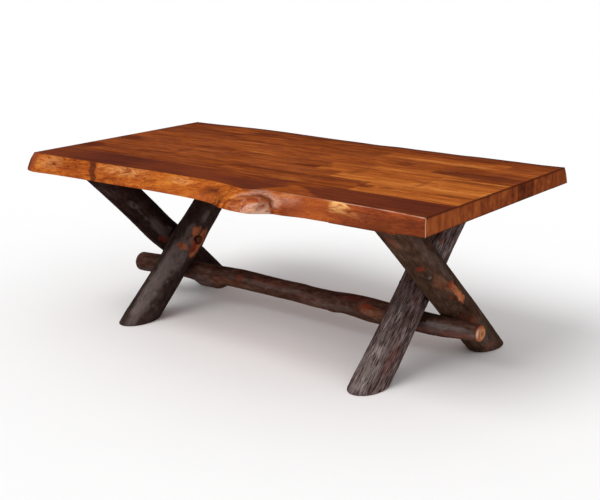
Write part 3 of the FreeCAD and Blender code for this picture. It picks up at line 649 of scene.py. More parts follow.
# Live-edge boards: how far the top and bottom arrises stand out from the straight line of the top's
# edge, at places along the board
FRONT_EDGE = (
    (-610, -3, 20), (-590, -1, 34), (-572, -1, 39), (-500, -1, 35), (-400, -1, 30), (-300, -4, 27),
    (-170, -8, 22), (-90, -9, 21), (-20, -10, 23), (40, -7, 28), (75, -1, 38), (105, 6, 52),
    (125, 10, 56), (145, 13, 60), (165, 8, 60), (185, -1, 60), (200, -6, 58), (217, -9, 47),
    (238, -9, 33), (270, -8, 29), (312, -8, 21), (359, -7, 19), (404, -6, 17), (448, -5, 15),
    (491, -4, 14), (550, 0, 9), (590, 4, 7), (610, 6, 6),
)
BACK_EDGE = (
    (-610, 1, 10), (-514, 3, 11), (-436, 7, 11), (-359, 9, 12), (-282, 7, 13), (-203, 1, 10),
    (-126, -6, 7), (-52, -11, 5), (17, -14, 4), (86, -19, 2), (146, -15, 1), (210, -19, 1),
    (271, -20, -1), (331, -23, -2), (386, -20, -3), (442, -21, -4), (496, -22, -5), (549, -24, -6),
    (598, -21, -6), (610, -20, -5),
)
# Steps of the mesh along an edge, its swelling and its rounded arrises. The insets ease the sawn ends: place
# from the end and depth, as shares of the rounding. The margin is how far the edge stays inside its CAD box.
EDGE_STEP = 2.2
EDGE_BELLY = 1.6
ARRIS_ROUND = 2.2
ARRIS_TURN = np.radians([0, 22, 45, 68, 90])
END_INSETS = ((0, 0.7), (0.25, 0.16), (0.7, 0.05))
BOX_MARGIN = 0.3

# Burl on the front edge: place along and half width of its arch, and its foot and its rise, both as shares
# of the way down the edge
BURL_X = 184
BURL_HALF_WIDTH = 48
BURL_DEPTH = 0.78
BURL_RISE = 0.57

# Yellow patches on the front edge: strength, place along, share of the way down, and half sizes
YELLOW_PATCHES = (
    (0.3, -520, 0.3, 70, 0.7), (0.45, -250, 0.2, 130, 0.4), (0.7, 150, 0.88, 26, 0.3),
    (0.4, -60, 0.2, 60, 0.3), (0.6, 206, 0.88, 20, 0.25), (0.2, 440, 0.45, 60, 0.3),
)
# Warmth of the front board's top: its level, and its changes with strength, place along and half length
WARMTH = 0.64
WARMTH_CHANGES = ((-0.22, -340, 150), (0.16, -30, 140), (0.12, -550, 90))


def ridge(values, middle, half):
    """A soft ridge of height 1 about a value."""
    return np.exp(-(((values - middle) / half) ** 2))


def front_marks(values, x, depth, kind, from_arris, noise):
    """Paint the front board's marks into its values, and give the move of its edge in millimetres."""
    lumps, ripples, drift = noise
    on_top = kind < 0
    below = (kind >= 0).astype(float)

    def patch(place, level, half, half_depth):
        """A soft patch round a place along the edge and a share of the way down it."""
        return bump_at(x - place, depth - level, half, half_depth)

    # Burl: an arch with ridges and rays under it, and lobes on its left
    across = (x - BURL_X) / BURL_HALF_WIDTH
    rise = (BURL_DEPTH - depth) / BURL_RISE
    spread = np.hypot(across, rise) + 0.14 * lumps + 0.12 * ripples
    under_arch = smooth_step(-spread, -1.05, -0.9) * below
    right_share = smooth_step(across, -0.9, -0.1)
    arch = ridge(spread, 1, 0.05 + 0.05 * right_share) * smooth_step(rise, -0.1, 0.3) * right_share
    inner_arch = ridge(spread, 0.7, 0.07) * smooth_step(rise, 0.0, 0.4) * smooth_step(across, -0.5, 0.1)
    rays = np.sin(np.arctan2(across, rise + 0.55) * 9 + 7 * lumps + 7 * ripples)
    band = ridge(spread, 1.26, 0.16) * smooth_step(rise, -0.1, 0.4)
    crease_x = 112 - 26 * depth + 12 * ripples
    crease = ridge(x, crease_x, 4.5 + 4 * depth) * below * smooth_step(ripples + lumps, -0.5, -0.1)
    lobe = smooth_step(x, crease_x - 4, crease_x + 6) * smooth_step(-spread, -2.2, -1.05)
    fold = ridge(depth, 0.6 + 0.2 * lumps - 0.004 * (x - 135), 0.08) * ridge(x, 138, 28)
    values["burl"] = np.clip(lobe + under_arch, 0, 1) * below
    values["swirl"] = spread * 13 + 2 * lumps
    # Pink-silver highlight painted in the burl's core and along its rays, added to the real pink of its band
    # and the edge
    burl_highlight = smooth_step(-np.hypot((x - 195) / 19, (depth - 0.82) / 0.3) - 0.4 * ripples, -1.1, -0.8) * below
    split = ridge(x, 214 - 12 * (1 - depth), 2.2) * smooth_step(depth, 0.5, 0.66) * below
    values["pink_and_highlight"] = np.clip(
        burl_highlight * (0.6 + 0.4 * smooth_step(rays, -0.6, 0.7)) + 0.5 * band * smooth_step(across, -1.2, -0.5)
        + 0.35 * under_arch * smooth_step(rays, 0, 0.8) * right_share
        + 0.3 * patch(262, 0.25, 56, 0.45), 0, 0.9) * below
    move = 1.6 * band + 1.5 * lobe + under_arch * (0.7 * rays - 0.6) - 1.6 * arch - 1.8 * crease - 1.3 * fold

    # Edge: golden on the left, redder and darker on the right
    hollow = bump_at(x - 48 - 14 * ripples, depth - 0.45 + 0.003 * (x - 48), 48, 0.36)
    pool = bump_at(x - 66, depth - 0.34 - 0.25 * ripples, 28, 0.2)
    stripe = smooth_step(-np.abs(x + 367 - 25 * depth - 9 * ripples), -17 + 4 * depth, -9 + 3 * depth)
    left_end = smooth_step(-x + 12 * depth + 12 * ripples, 562, 592)
    right = smooth_step(x, 300, 540)
    brown_zone = patch(292, 0.65, 44, 0.6)
    blotches = smooth_step(ripples + 0.5 * lumps, -0.2, 0.3)
    dark = np.clip(
        0.7 * hollow + 0.5 * pool + stripe * (0.97 - 0.1 * depth) + 0.95 * arch + 0.4 * inner_arch
        + 0.4 * crease + 0.6 * fold + 0.8 * split + 0.35 * left_end + 0.3 * brown_zone
        + right * (0.42 + 0.35 * blotches) * smooth_step(depth, 0.02, 0.4), 0, 0.95,
    )
    values["blush"] = np.clip(
        0.45 * smooth_step(x, 225, 300) * (1 - patch(402, 0.2, 50, 0.5)) + 0.8 * left_end
        + 0.6 * under_arch + 0.5 * patch(30, 0.9, 70, 0.5) + 0.3 * brown_zone, 0, 0.9,
    )
    pale = smooth_step(-np.abs(x - 398) - 16 * ripples, -36, -12)
    pale *= smooth_step(-depth - 0.15 * ripples, -0.6, -0.25)
    yellows = [strength * patch(*place) for strength, *place in YELLOW_PATCHES]
    values["yellow"] = np.maximum.reduce([0.9 * pale, *yellows]) * below

    # Cracks that run down to the left, left of the burl, and dark streaks like them on the right
    cracks = smooth_step(np.cos((x + 250 * depth) / 14 + 7 * ripples + 5 * lumps), 0.5, 0.95)
    cracks *= patch(-190, 0.62, 150, 0.62) * smooth_step(ripples, -0.3, 0.1)
    slashes = smooth_step(np.cos((x + 150 * depth) / 8 + 9 * ripples + 7 * lumps) + ripples, -0.1, 0.9)
    slashes *= smooth_step(x, 420, 520) * smooth_step(depth, 0.0, 0.35)
    values["dark"] = np.maximum.reduce([dark, 0.8 * cracks, 0.7 * slashes]) * below
    values["dark"] += 0.5 * bump_at(x - 130, from_arris + 26, 80, 24) * on_top
    move += -2.5 * hollow - 1.2 * stripe - 0.8 * cracks - 0.4 * slashes

    # Top face: dark heart, but for a pale wedge behind the burl and browner wood inside it
    wedge_reach = 58 * smooth_step(x, 150, 226) * smooth_step(-x, -370, -215)
    wedge = smooth_step(from_arris + wedge_reach + 16 * lumps + 8 * drift, -7, 7) * (wedge_reach > 0)
    brown = bump_at(x - 60, from_arris + 92, 130, 46) + 1.2 * bump_at(x - 232, from_arris + 82, 90, 46)
    stroke = bump_at(x - 158, from_arris + 92, 36, 22)
    sap_line = from_arris + 2 + 5 * drift
    heart = np.clip(1 - wedge - 0.75 * brown + 0.8 * stroke, 0, 1)
    values["heart"] = heart * (1 - smooth_step(sap_line, -6, 3))
    values["warmth"] = WARMTH - 0.12 * smooth_step(x, 380, 600)
    for strength, place, half in WARMTH_CHANGES:
        values["warmth"] += strength * bump_at(x - place, 0, half, 1)
    sap = np.where(on_top, smooth_step(sap_line, -5, 3), 1.0)
    values["sap"] = np.maximum(sap, 0.5 * wedge * on_top)
    tone = 0.53 + 0.2 * drift + 0.12 * lumps + 0.1 * patch(260, 0, 90, 0.3) * below
    tone -= 0.2 * right + 0.05 * depth
    values["tone"] = np.where(on_top, 0.36 + 0.06 * wedge, tone)
    return move


def board_object(name, box, side, width, edge, seed):
    """Model a board with a natural edge as a fine mesh, with the burl on the front one."""
    low_z, high_z = box[0][2], box[1][2]
    glue, limit = (box[1][1], box[0][1]) if side < 0 else (box[0][1], box[1][1])
    half = (box[1][0] - box[0][0]) / 2
    inner = stations(-half + ARRIS_ROUND, half - ARRIS_ROUND, EDGE_STEP)
    backs, eased = np.array(END_INSETS).T * ARRIS_ROUND
    xs = np.concatenate([backs - half, inner, (half - backs)[::-1]])
    inset = np.concatenate([eased, np.zeros(len(inner)), eased[::-1]])[:, None]
    top_shares = np.concatenate([np.linspace(0, 0.9, 19), [0.93, 0.96, 0.985]])
    under_shares = top_shares[::-3]
    down = np.linspace(0, 1, 31)[1:-1]
    round_sine = ARRIS_ROUND * (1 - np.sin(ARRIS_TURN))
    round_cosine = ARRIS_ROUND * (1 - np.cos(ARRIS_TURN))

    # Rows of points, each from the glue line over the top, down the edge and back on the underside
    front_top = width + curve(edge, xs)[:, None]
    front_bottom = width + curve(edge, xs, 2)[:, None]
    high, low = high_z - low_z - inset, inset
    start, stop = high - ARRIS_ROUND, low + ARRIS_ROUND
    belly = (front_bottom - front_top) * down**0.85 + EDGE_BELLY * np.sin(np.pi * down)
    out = np.hstack([
        front_top * top_shares, front_top - inset - round_sine, front_top - inset + belly,
        front_bottom - inset - round_cosine, front_bottom * under_shares,
    ])
    up = np.hstack([
        high + 0 * top_shares, high - round_cosine, start + (stop - start) * down,
        low + round_sine, low + 0 * under_shares,
    ])
    count, around = out.shape
    from_arris = (out - front_top).ravel()
    x, out, up = np.repeat(xs, around), out.ravel(), up.ravel()
    # From -1 at the glue line to 0 at the top arris, then 1 at the bottom arris and 2 on the underside
    turns = np.ones(len(ARRIS_TURN))
    kind = np.concatenate([top_shares - 1.001, 0 * turns, down, turns, np.full(len(under_shares), 2)])
    kind = np.tile(kind, count)
    depth = np.clip(kind, 0, 1)
    on_easing = np.zeros(around)
    on_easing[len(top_shares) + 1:len(top_shares) + 4] = 1
    on_easing = np.tile(on_easing, count)
    noise_places = np.stack([x, out, up], axis=1)
    lumps = layered_noise(noise_places, (70, 40, 30), seed, 3)
    ripples = layered_noise(noise_places, (26, 14, 9), seed + 1, 3)
    drift = layered_noise(noise_places, (90, 30, 30), seed + 2, 3)
    move = np.sin(np.pi * depth) * (1.6 * lumps + 0.8 * ripples)
    names = ("burl", "swirl", "pink_and_highlight", "yellow", "dark", "blush", "arris_highlight", "heart", "warmth")
    values = {key: np.zeros(len(x)) for key in names}
    if side < 0:
        move += front_marks(values, x, depth, kind, from_arris, (lumps, ripples, drift))
        # A pale line painted along the eased top arris on the right: a painted highlight
        values["arris_highlight"] = np.clip(smooth_step(x, 180, 480) * on_easing * (0.5 + 0.9 * ripples), 0, 0.8)
    else:
        values["sap"] = (kind >= 0).astype(float)
        values["tone"] = 0.3 + 0.08 * drift + 0.1 * bump_at(x + 400, 0, 110, 1) + 0.12 * depth
        values["dark"] = 0.9 * smooth_step(from_arris + 12 * drift, -34, -4) * (kind <= 0)
    values["sap"] = np.where(kind > 1, 0.5, values["sap"])
    out = out + move * ((kind > 0) & (kind < 1))
    out = np.minimum(out, abs(limit) - abs(glue) - BOX_MARGIN)
    placed = np.stack([x, glue + side * out, low_z + up], axis=1).reshape(count, around, 3)
    values = {key: data.reshape(count, around) for key, data in values.items()}
    if side > 0:
        placed = placed[:, ::-1]
        values = {key: data[:, ::-1] for key, data in values.items()}
    return tube_object(name, placed, values, {}, 0)


# Logs: which way each pair lies from the table's middle, and where a log's axis meets the floor and the
# cleat, measured along it from the crossing
SIGNS = {"left": -1, "right": 1}
FLOOR_ALONG = -CROSSING_HEIGHT / math.cos(LEAN)
TOP_ALONG = (LEG_TOP - CROSSING_HEIGHT) / math.cos(LEAN)
# Points round a leg, steps along it, rings of its sawn ends, and how far the ends' arrises are eased
LEG_AROUND = 180
LEG_STEP = 1.7
LEG_CAP_SHARES = (0.2, 0.4, 0.6, 0.8, 0.97)
SAWN_INSET = 1.5
SAWN_CLEARANCE = 0.4
# Angle round a leg at which its bark is painted palest: painted light on that side, and painted shade towards
# the other sides
PAINTED_LIGHT_ANGLE = math.radians(-50)
# A knot with a greater half length than this is a swelling, without a ring or an eye
LARGEST_EYE = 20

# For each log: radius at places along it as shares of the leg radius, sideways crook (place along, and
# offsets along X and across), how deep its furrows are, a seed, and its marks. A mark has its place along,
# angle, half length and half width, and then a strength, or the height of a knot's bump.
# A log's painted sheens are painted highlights: pale patches laid where light falls on its bark
LEGS = {
    "leg_left_outer": dict(
        radii=((-268, 1.0), (-101, 1.03), (36, 1.03), (190, 1.015), (294, 1.05)),
        crook=((-268, 0, 0), (-90, 0, 0), (-30, 0, -2.2), (30, 0, -5), (110, 0, -3), (200, 0, -1.6),
               (294, 0, 0)),
        furrow=0.12, seed=11,
        painted_sheens=((60, -22, 60, 13, 0.3), (24, 6, 22, 8, 0.5), (-190, -30, 60, 16, 0.25),
                (-60, 10, 30, 12, 0.3), (188, -30, 16, 7, 0.3), (176, -22, 12, 3, 0.3),
                (152, -30, 14, 3, 0.25), (124, -32, 12, 5, 0.28), (68, -14, 9, 4, 0.35)),
        peels=((150, 150, 30, 12, 0.5),), reds=((31, -41, 17, 10, 0.5),),
        knots=((186, -30, 12, 10, 0.8), (124, -32, 7, 7, 0.5), (-150, 120, 10, 9, 2.2)),
    ),
    "leg_left_inner": dict(
        radii=((-268, 1.05), (-101, 1.03), (36, 1.02), (190, 0.96), (294, 0.99)),
        crook=((-268, 0, 0), (-200, 3.5, 0), (-110, 6, 0), (-55, 3.5, 0), (-20, 0, 0), (50, 5, 0),
               (150, 6, 0), (294, 5, 0)),
        furrow=0.1, seed=23,
        painted_sheens=((-170, -66, 130, 19, 0.72), (-75, -44, 50, 26, 0.8), (66, -28, 20, 7, 0.5),
                (8, -46, 24, 9, 0.5), (-14, -26, 14, 5, 0.6), (-60, -22, 14, 4, 0.8),
                (-130, -34, 6, 3, 0.6), (-150, -30, 5, 3, 0.5)),
        peels=((14, -25, 19, 9, 1.0), (-10, 6, 40, 12, 0.9), (20, 8, 20, 9, 0.8), (-43, -42, 8, 15, 0.9)),
        reds=((-26, -2, 15, 6, 1.0), (20, 10, 16, 6, 0.6), (-42, -52, 8, 7, 0.6)),
        knots=((-62, -24, 10, 10, 1.6), (-8, 26, 36, 24, 7.5), (14, -12, 10, 6, 1.0),
               (150, 160, 12, 10, 2)),
    ),
    "leg_right_outer": dict(
        radii=((-268, 0.97), (-101, 1.0), (36, 1.0), (190, 0.98), (294, 0.99)),
        crook=((-268, 0, 0), (294, 0, 0)), furrow=0.16, seed=37,
        painted_sheens=((200, -8, 60, 12, 0.15), (120, 10, 60, 8, 0.2), (-190, -20, 80, 20, 0.2),
                (130, -46, 6, 4, 0.5)),
        peels=((34, -4, 26, 8, 1.0), (0, -2, 20, 10, 1.0), (60, -20, 30, 8, 0.3), (95, -30, 30, 12, 0.2)),
        reds=((168, -53, 9, 10, 0.85), (290, -74, 26, 8, 0.3), (60, -6, 12, 6, 0.8),
              (28, -30, 10, 8, 0.4), (-219, -23, 16, 16, 0.25), (-70, -40, 30, 10, 0.2),
              (-100, -20, 30, 10, 0.3)),
        knots=((131, -48, 9, 8, 1.8), (27, -50, 9, 8, 1.8), (39, -40, 7, 6, 1.4), (-8, -44, 12, 11, 2.2),
               (-40, -36, 10, 8, 1.4)),
    ),
    "leg_right_inner": dict(
        radii=((-268, 1.02), (-200, 1.0), (-101, 0.985), (36, 1.0), (190, 0.98), (294, 1.04)),
        crook=((-268, 0, 0), (-150, 2, 0), (-50, 0.5, 0), (0, 0, 0), (294, 0, 0)), furrow=1.0, seed=41,
        painted_sheens=((-120, -84, 110, 18, 0.45), (-225, -84, 70, 26, 0.98), (120, -40, 50, 14, 0.35)),
        peels=((112, -41, 10, 4, 0.3),), reds=((-40, -40, 30, 10, 0.15), (-200, -30, 40, 9, 0.2)),
        knots=((-62, -60, 12, 8, 0.6), (-160, 60, 10, 9, 2)),
    ),
}


def stretcher_seat(side):
    """Give the stretcher's drop below the crossing and its seats' distance from the legs' axes."""
    drop = CROSSING_HEIGHT - STRETCHER_HEIGHTS[side]
    return drop, drop * math.sin(LEAN) * LEG_RADIUS / (LEG_RADIUS + STRETCHER_RADIUS)


def leg_x(side, lean):
    """Give a log's place along the table. The lean is 1 for the outer log and -1 for the inner one."""
    return PAIR_X[side] + SIGNS[side] * LOG_SPACING / 2 * lean


def leg_axes(lean):
    """Give the direction along a leaning log, and the one square to it in the plane of its lean."""
    sine, cosine = math.sin(LEAN), math.cos(LEAN)
    return np.array([0, -lean * sine, cosine]), np.array([0, cosine, lean * sine])


def arc(degrees, turn, radius):
    """Give distances round a log from one of its angles, in millimetres."""
    return np.radians(wrap_degrees(degrees - turn)) * radius


def bark_relief(places, furrow, seed):
    """Give the height of the bark in millimetres, its relief from 0 to 1 and its pale streaks."""
    twist = places.copy()
    twist[:, 0] += 0.05 * places[:, 2]
    lumps = layered_noise(places, (60, 60, 120), seed, 2)
    skin = layered_noise(places, (9, 9, 16), seed + 1, 4, 0.6)
    coarse = 1 - np.abs(layered_noise(twist, (10, 10, 80), seed + 2, 2)) * 2.4
    fine = 1 - np.abs(layered_noise(twist, (4.2, 4.2, 42), seed + 3, 2)) * 2.2
    ridges = np.clip(0.4 * coarse + 0.6 * fine, -0.6, 1)
    height = 1.1 * lumps + 0.45 * skin * (1 - 0.4 * furrow) + furrow * 1.2 * (ridges - 0.4)
    relief = np.clip(0.5 + 0.35 * skin + furrow * 0.8 * (ridges - 0.45), 0, 1)
    breaks = layered_noise(places, (14, 14, 34), seed + 4, 3)
    streak = (0.3 + 0.7 * smooth_step(ridges, 0.3, 0.8)) * smooth_step(breaks, -0.2, 0.2) * furrow
    return height, relief, streak


def mark_mask(along, degrees, radius, marks, ragged, soft):
    """Give the strongest of a list of ragged marks on a log."""
    mask = np.zeros(len(along))
    for place, turn, half_length, half_width, strength in marks:
        across = arc(degrees, turn, radius)
        distance = np.sqrt(((along - place) / half_length) ** 2 + (across / half_width) ** 2) + ragged
        mask = np.maximum(mask, strength * smooth_step(-distance, -1 - soft, -1 + soft))
    return mask


def knot_bumps(along, degrees, radius, knots, ragged):
    """Give the height in millimetres and the dark eye of a list of knots on a log."""
    height, eyes = np.zeros(len(along)), np.zeros(len(along))
    for place, turn, half_length, half_width, rise in knots:
        across = arc(degrees, turn, radius)
        swell = bump_at(across, along - place, 1.8 * half_width, 1.8 * half_length)
        spread = np.hypot(across / half_width, (along - place) / half_length) + 0.7 * ragged
        is_small = 1 if half_length < LARGEST_EYE else 0
        ring = ridge(spread, 0.75, 0.3) * is_small
        eye = smooth_step(-spread, -0.5, -0.1) * is_small
        height += rise * (swell - 0.45 * eye + 0.25 * ring)
        eyes = np.maximum(eyes, np.maximum(0.7 * eye, 0.25 * ridge(spread, 1.15, 0.25) * is_small))
    return height, eyes


def log_marks(along, degrees, radius, facts, ragged, peel_soft):
    """Give the masks of a log's marks by name, and the height of its knots in millimetres."""
    # The painted sheens are painted highlights
    painted_sheen = mark_mask(along, degrees, radius, facts["painted_sheens"], 0.5 * ragged, 0.42)
    peel = mark_mask(along, degrees, radius, facts["peels"], ragged, peel_soft)
    red = mark_mask(along, degrees, radius, facts["reds"], ragged, 0.3)
    bumps, knot = knot_bumps(along, degrees, radius, facts["knots"], ragged)
    return {"painted_sheen": painted_sheen, "peel": peel, "red": red, "knot": knot}, bumps


def drill(points, base, axis, radius, floor, reach):
    """Sink a flat round recess along an axis into points, and tell which of them it takes in."""
    local = points - base
    depth = local @ axis
    aside = local - depth[:, None] * axis
    spread = np.linalg.norm(aside, axis=1)
    near = (spread < radius + reach) & (depth > 0)
    inside = near & (spread < radius)
    rim = near & (spread > radius - reach)
    pull = np.where(rim, (radius + np.where(inside, 0, 0.2)) / np.maximum(spread, 1), 1)
    depth = np.where(inside, floor, depth)
    moved = base + aside * pull[:, None] + depth[:, None] * axis
    return np.where(near[:, None], moved, points), inside


def shrunk(ring, shares):
    """Give copies of a ring that shrink towards its middle by shares."""
    centre = ring.mean(axis=0)
    return [centre + (ring - centre) * share for share in shares]


def with_caps(rings, caps):
    """Put a cap's rings before the first ring and after the last one."""
    return np.concatenate([caps[0], rings, caps[1][::-1]])


def add_log(node, rings, shares, marks, log_places, materials):
    """Add a log whose rings have caps already, with its marks and its own coordinates."""
    caps, around = len(shares), rings.shape[1]
    values = {}
    for label, data in marks.items():
        values[label] = np.pad(data.reshape(-1, around), ((caps, caps), (0, 0)))
    radial = np.concatenate([shares, np.ones(len(rings) - 2 * caps), shares[::-1]])
    values["radial"] = np.repeat(radial, around).reshape(-1, around)
    made = tube_object(node + "_log", rings, values, {"log": log_places}, caps)
    add_piece(made, node, materials)


def leg_object(name, facts, bark, end_grain):
    """Model a bark-on log as a fine mesh: sawn level, planed at its seats and drilled on the inner side."""
    side = name.split("_")[1]
    is_outer = name.endswith("outer")
    lean = 1 if is_outer else -1
    along_axis, across_axis = leg_axes(lean)
    base = np.array([leg_x(side, lean), BASE_Y, CROSSING_HEIGHT])
    drop, seat_distance = stretcher_seat(side)
    seat_along = -drop * math.cos(LEAN)

    angles = np.linspace(0, 2 * math.pi, LEG_AROUND, endpoint=False)
    slant = lean * math.tan(LEAN) * np.sin(angles)
    steps = stations(0, 1, LEG_STEP / (TOP_ALONG - FLOOR_ALONG))
    radii = [(place, share * LEG_RADIUS) for place, share in facts["radii"]]
    start = FLOOR_ALONG - slant * radii[0][1]
    stop = TOP_ALONG - slant * radii[-1][1]
    along = (start + (stop - start) * steps[:, None]).ravel()
    angle = np.tile(angles, len(steps))
    degrees = np.degrees(angle)
    radius = curve(radii, along)
    places = np.stack([radius * np.cos(angle), radius * np.sin(angle), along], axis=1)
    height, relief, streak = bark_relief(places, facts["furrow"], facts["seed"])
    # Painted light and shade: the bark darkens as it turns away from the lit side
    relief = relief - 0.1 * (1 - np.cos(angle - PAINTED_LIGHT_ANGLE))
    ragged = 0.9 * layered_noise(places, (9, 9, 20), facts["seed"] + 5, 4, 0.65)
    marks, bumps = log_marks(along, degrees, LEG_RADIUS, facts, ragged, 0.35)
    radius = radius + height + bumps - 0.5 * np.maximum(marks["peel"], marks["red"])

    local_x = radius * np.cos(angle) + curve(facts["crook"], along)
    local_y = radius * np.sin(angle) + curve(facts["crook"], along, 2)
    at_crossing = np.abs(along) < SEAT_LENGTH / 2
    faces_right = SIGNS[side] * lean < 0
    flat = np.minimum(local_x, LOG_SPACING / 2) if faces_right else np.maximum(local_x, -LOG_SPACING / 2)
    seated = at_crossing & (flat != local_x)
    local_x = np.where(at_crossing, flat, local_x)
    at_stretcher = np.abs(along - seat_along) < SEAT_LENGTH / 2
    flat = np.maximum(local_y, -seat_distance) if is_outer else np.minimum(local_y, seat_distance)
    seated |= at_stretcher & (flat != local_y)
    local_y = np.where(at_stretcher, flat, local_y)

    points = base + local_x[:, None] * (1, 0, 0) + local_y[:, None] * across_axis
    points += along[:, None] * along_axis
    if not is_outer:
        drive = np.array([-SIGNS[side], 0, 0])
        points, inside = drill(points, base, drive, SPOT_FACE_RADIUS, LEG_RADIUS - SPOT_FACE_DEPTH, 1)
        seated |= inside
    rings = points.reshape(-1, LEG_AROUND, 3)
    for row, level in ((0, 0.0), (-1, LEG_TOP)):
        shift = (level - rings[row][:, 2]) / along_axis[2]
        rings[row] += shift[:, None] * along_axis
    rings[1:-1, :, 2] = np.clip(rings[1:-1, :, 2], SAWN_CLEARANCE, LEG_TOP - SAWN_CLEARANCE)
    caps = [shrunk(rings[row], LEG_CAP_SHARES) for row in (0, -1)]
    for row in (0, -1):
        rings[row] = shrunk(rings[row], [1 - SAWN_INSET / LEG_RADIUS])[0]
    rings = with_caps(rings, caps)
    local = rings - base
    log_places = np.stack([local[:, :, 0], local @ across_axis, local @ along_axis], axis=2)
    marks |= {"relief": relief, "streak": streak, "cut": seated.astype(float)}
    add_log(name, rings, LEG_CAP_SHARES, marks, log_places, [bark, end_grain])


# Stretcher: height of its middle, place across and radius, at places along the table
STRETCHER_ROUTE = (
    (-561, 86, 30, 26.9), (-547, 86.3, 30, 27), (-517, 88, 30, 26.8), (-485, 91, 30.5, 26),
    (-448, 94.6, 30.5, 25.2), (-408, 95, 30.5, 25.2), (-369, 95, 30.5, 25.2), (-320, 94, 31, 26.5),
    (-277, 94.8, 33, 27), (-247, 96, 33, 27), (-217, 99.4, 33, 25.3), (-173, 100.5, 34, 26),
    (-130, 100.2, 34.5, 25.8), (-88, 99.8, 35, 25.1), (-46, 100, 34, 24.6), (-6, 100.4, 33, 24.1),
    (34, 101.2, 32, 24.8), (73, 100.1, 31, 24.9), (112, 100.8, 30, 25), (149, 102.1, 28.5, 25.1),
    (187, 104.7, 27.5, 26), (223, 103.9, 28, 27.8), (259, 102.2, 28.5, 29), (290, 101.6, 29, 28.4),
    (330, 101.9, 30, 26.3), (385, 102, 30.5, 25.6), (424, 102, 30.5, 25.2), (464, 103, 30.5, 24),
    (500, 105.8, 30, 22.4), (530, 107.4, 29, 20.8), (563, 108, 28, 19.2),
)
# Points round it, steps along it, rings of its worn ends and how long their rounding is
STRETCHER_AROUND = 120
STRETCHER_STEP = 2.4
STRETCHER_CAP_SHARES = (0.15, 0.35, 0.6, 0.8, 0.93)
STRETCHER_ROUND = 7
# Finer steps about a screw's recess
RECESS_REACH = 11
RECESS_STEP = 1.1
# Its furrows, seed and marks, painted sheens among them, are given as a leg's are, and its lumps as knots are
STRETCHER = dict(
    furrow=0.3, seed=53,
    lumps=((257, 60, 34, 24, 3), (150, -60, 26, 18, 2), (508, 62, 12, 10, 5), (-120, 40, 22, 16, 2)),
    painted_sheens=((470, 22, 80, 6, 0.9), (480, 0, 90, 16, 0.35), (408, 30, 8, 12, 0.5),
            (-500, -50, 50, 14, 0.2), (-20, 20, 160, 7, 0.3), (-300, -30, 50, 12, 0.3),
            (150, -10, 80, 8, 0.25)),
    peels=((-352, -58, 14, 6, 0.6), (262, 20, 36, 12, 0.3), (320, 0, 30, 9, 0.2),
           (-200, -20, 60, 12, 0.12)),
    reds=((-157, 24, 12, 10, 0.6), (262, 34, 22, 6, 0.8), (215, 60, 50, 8, 0.25), (420, -20, 20, 8, 0.3),
          (500, -24, 60, 10, 0.3), (-60, 40, 60, 8, 0.2), (80, 10, 50, 8, 0.15)),
    knots=((40, -20, 8, 8, 1.0), (408, 55, 9, 9, 1.5)),
)
# Lump under the stretcher beside the left pair: start, full height, end of it and end, then height and angle
LUMP_ALONG = (-340, -306, -252, -216)
LUMP_HEIGHT = 9
LUMP_TURN = -95


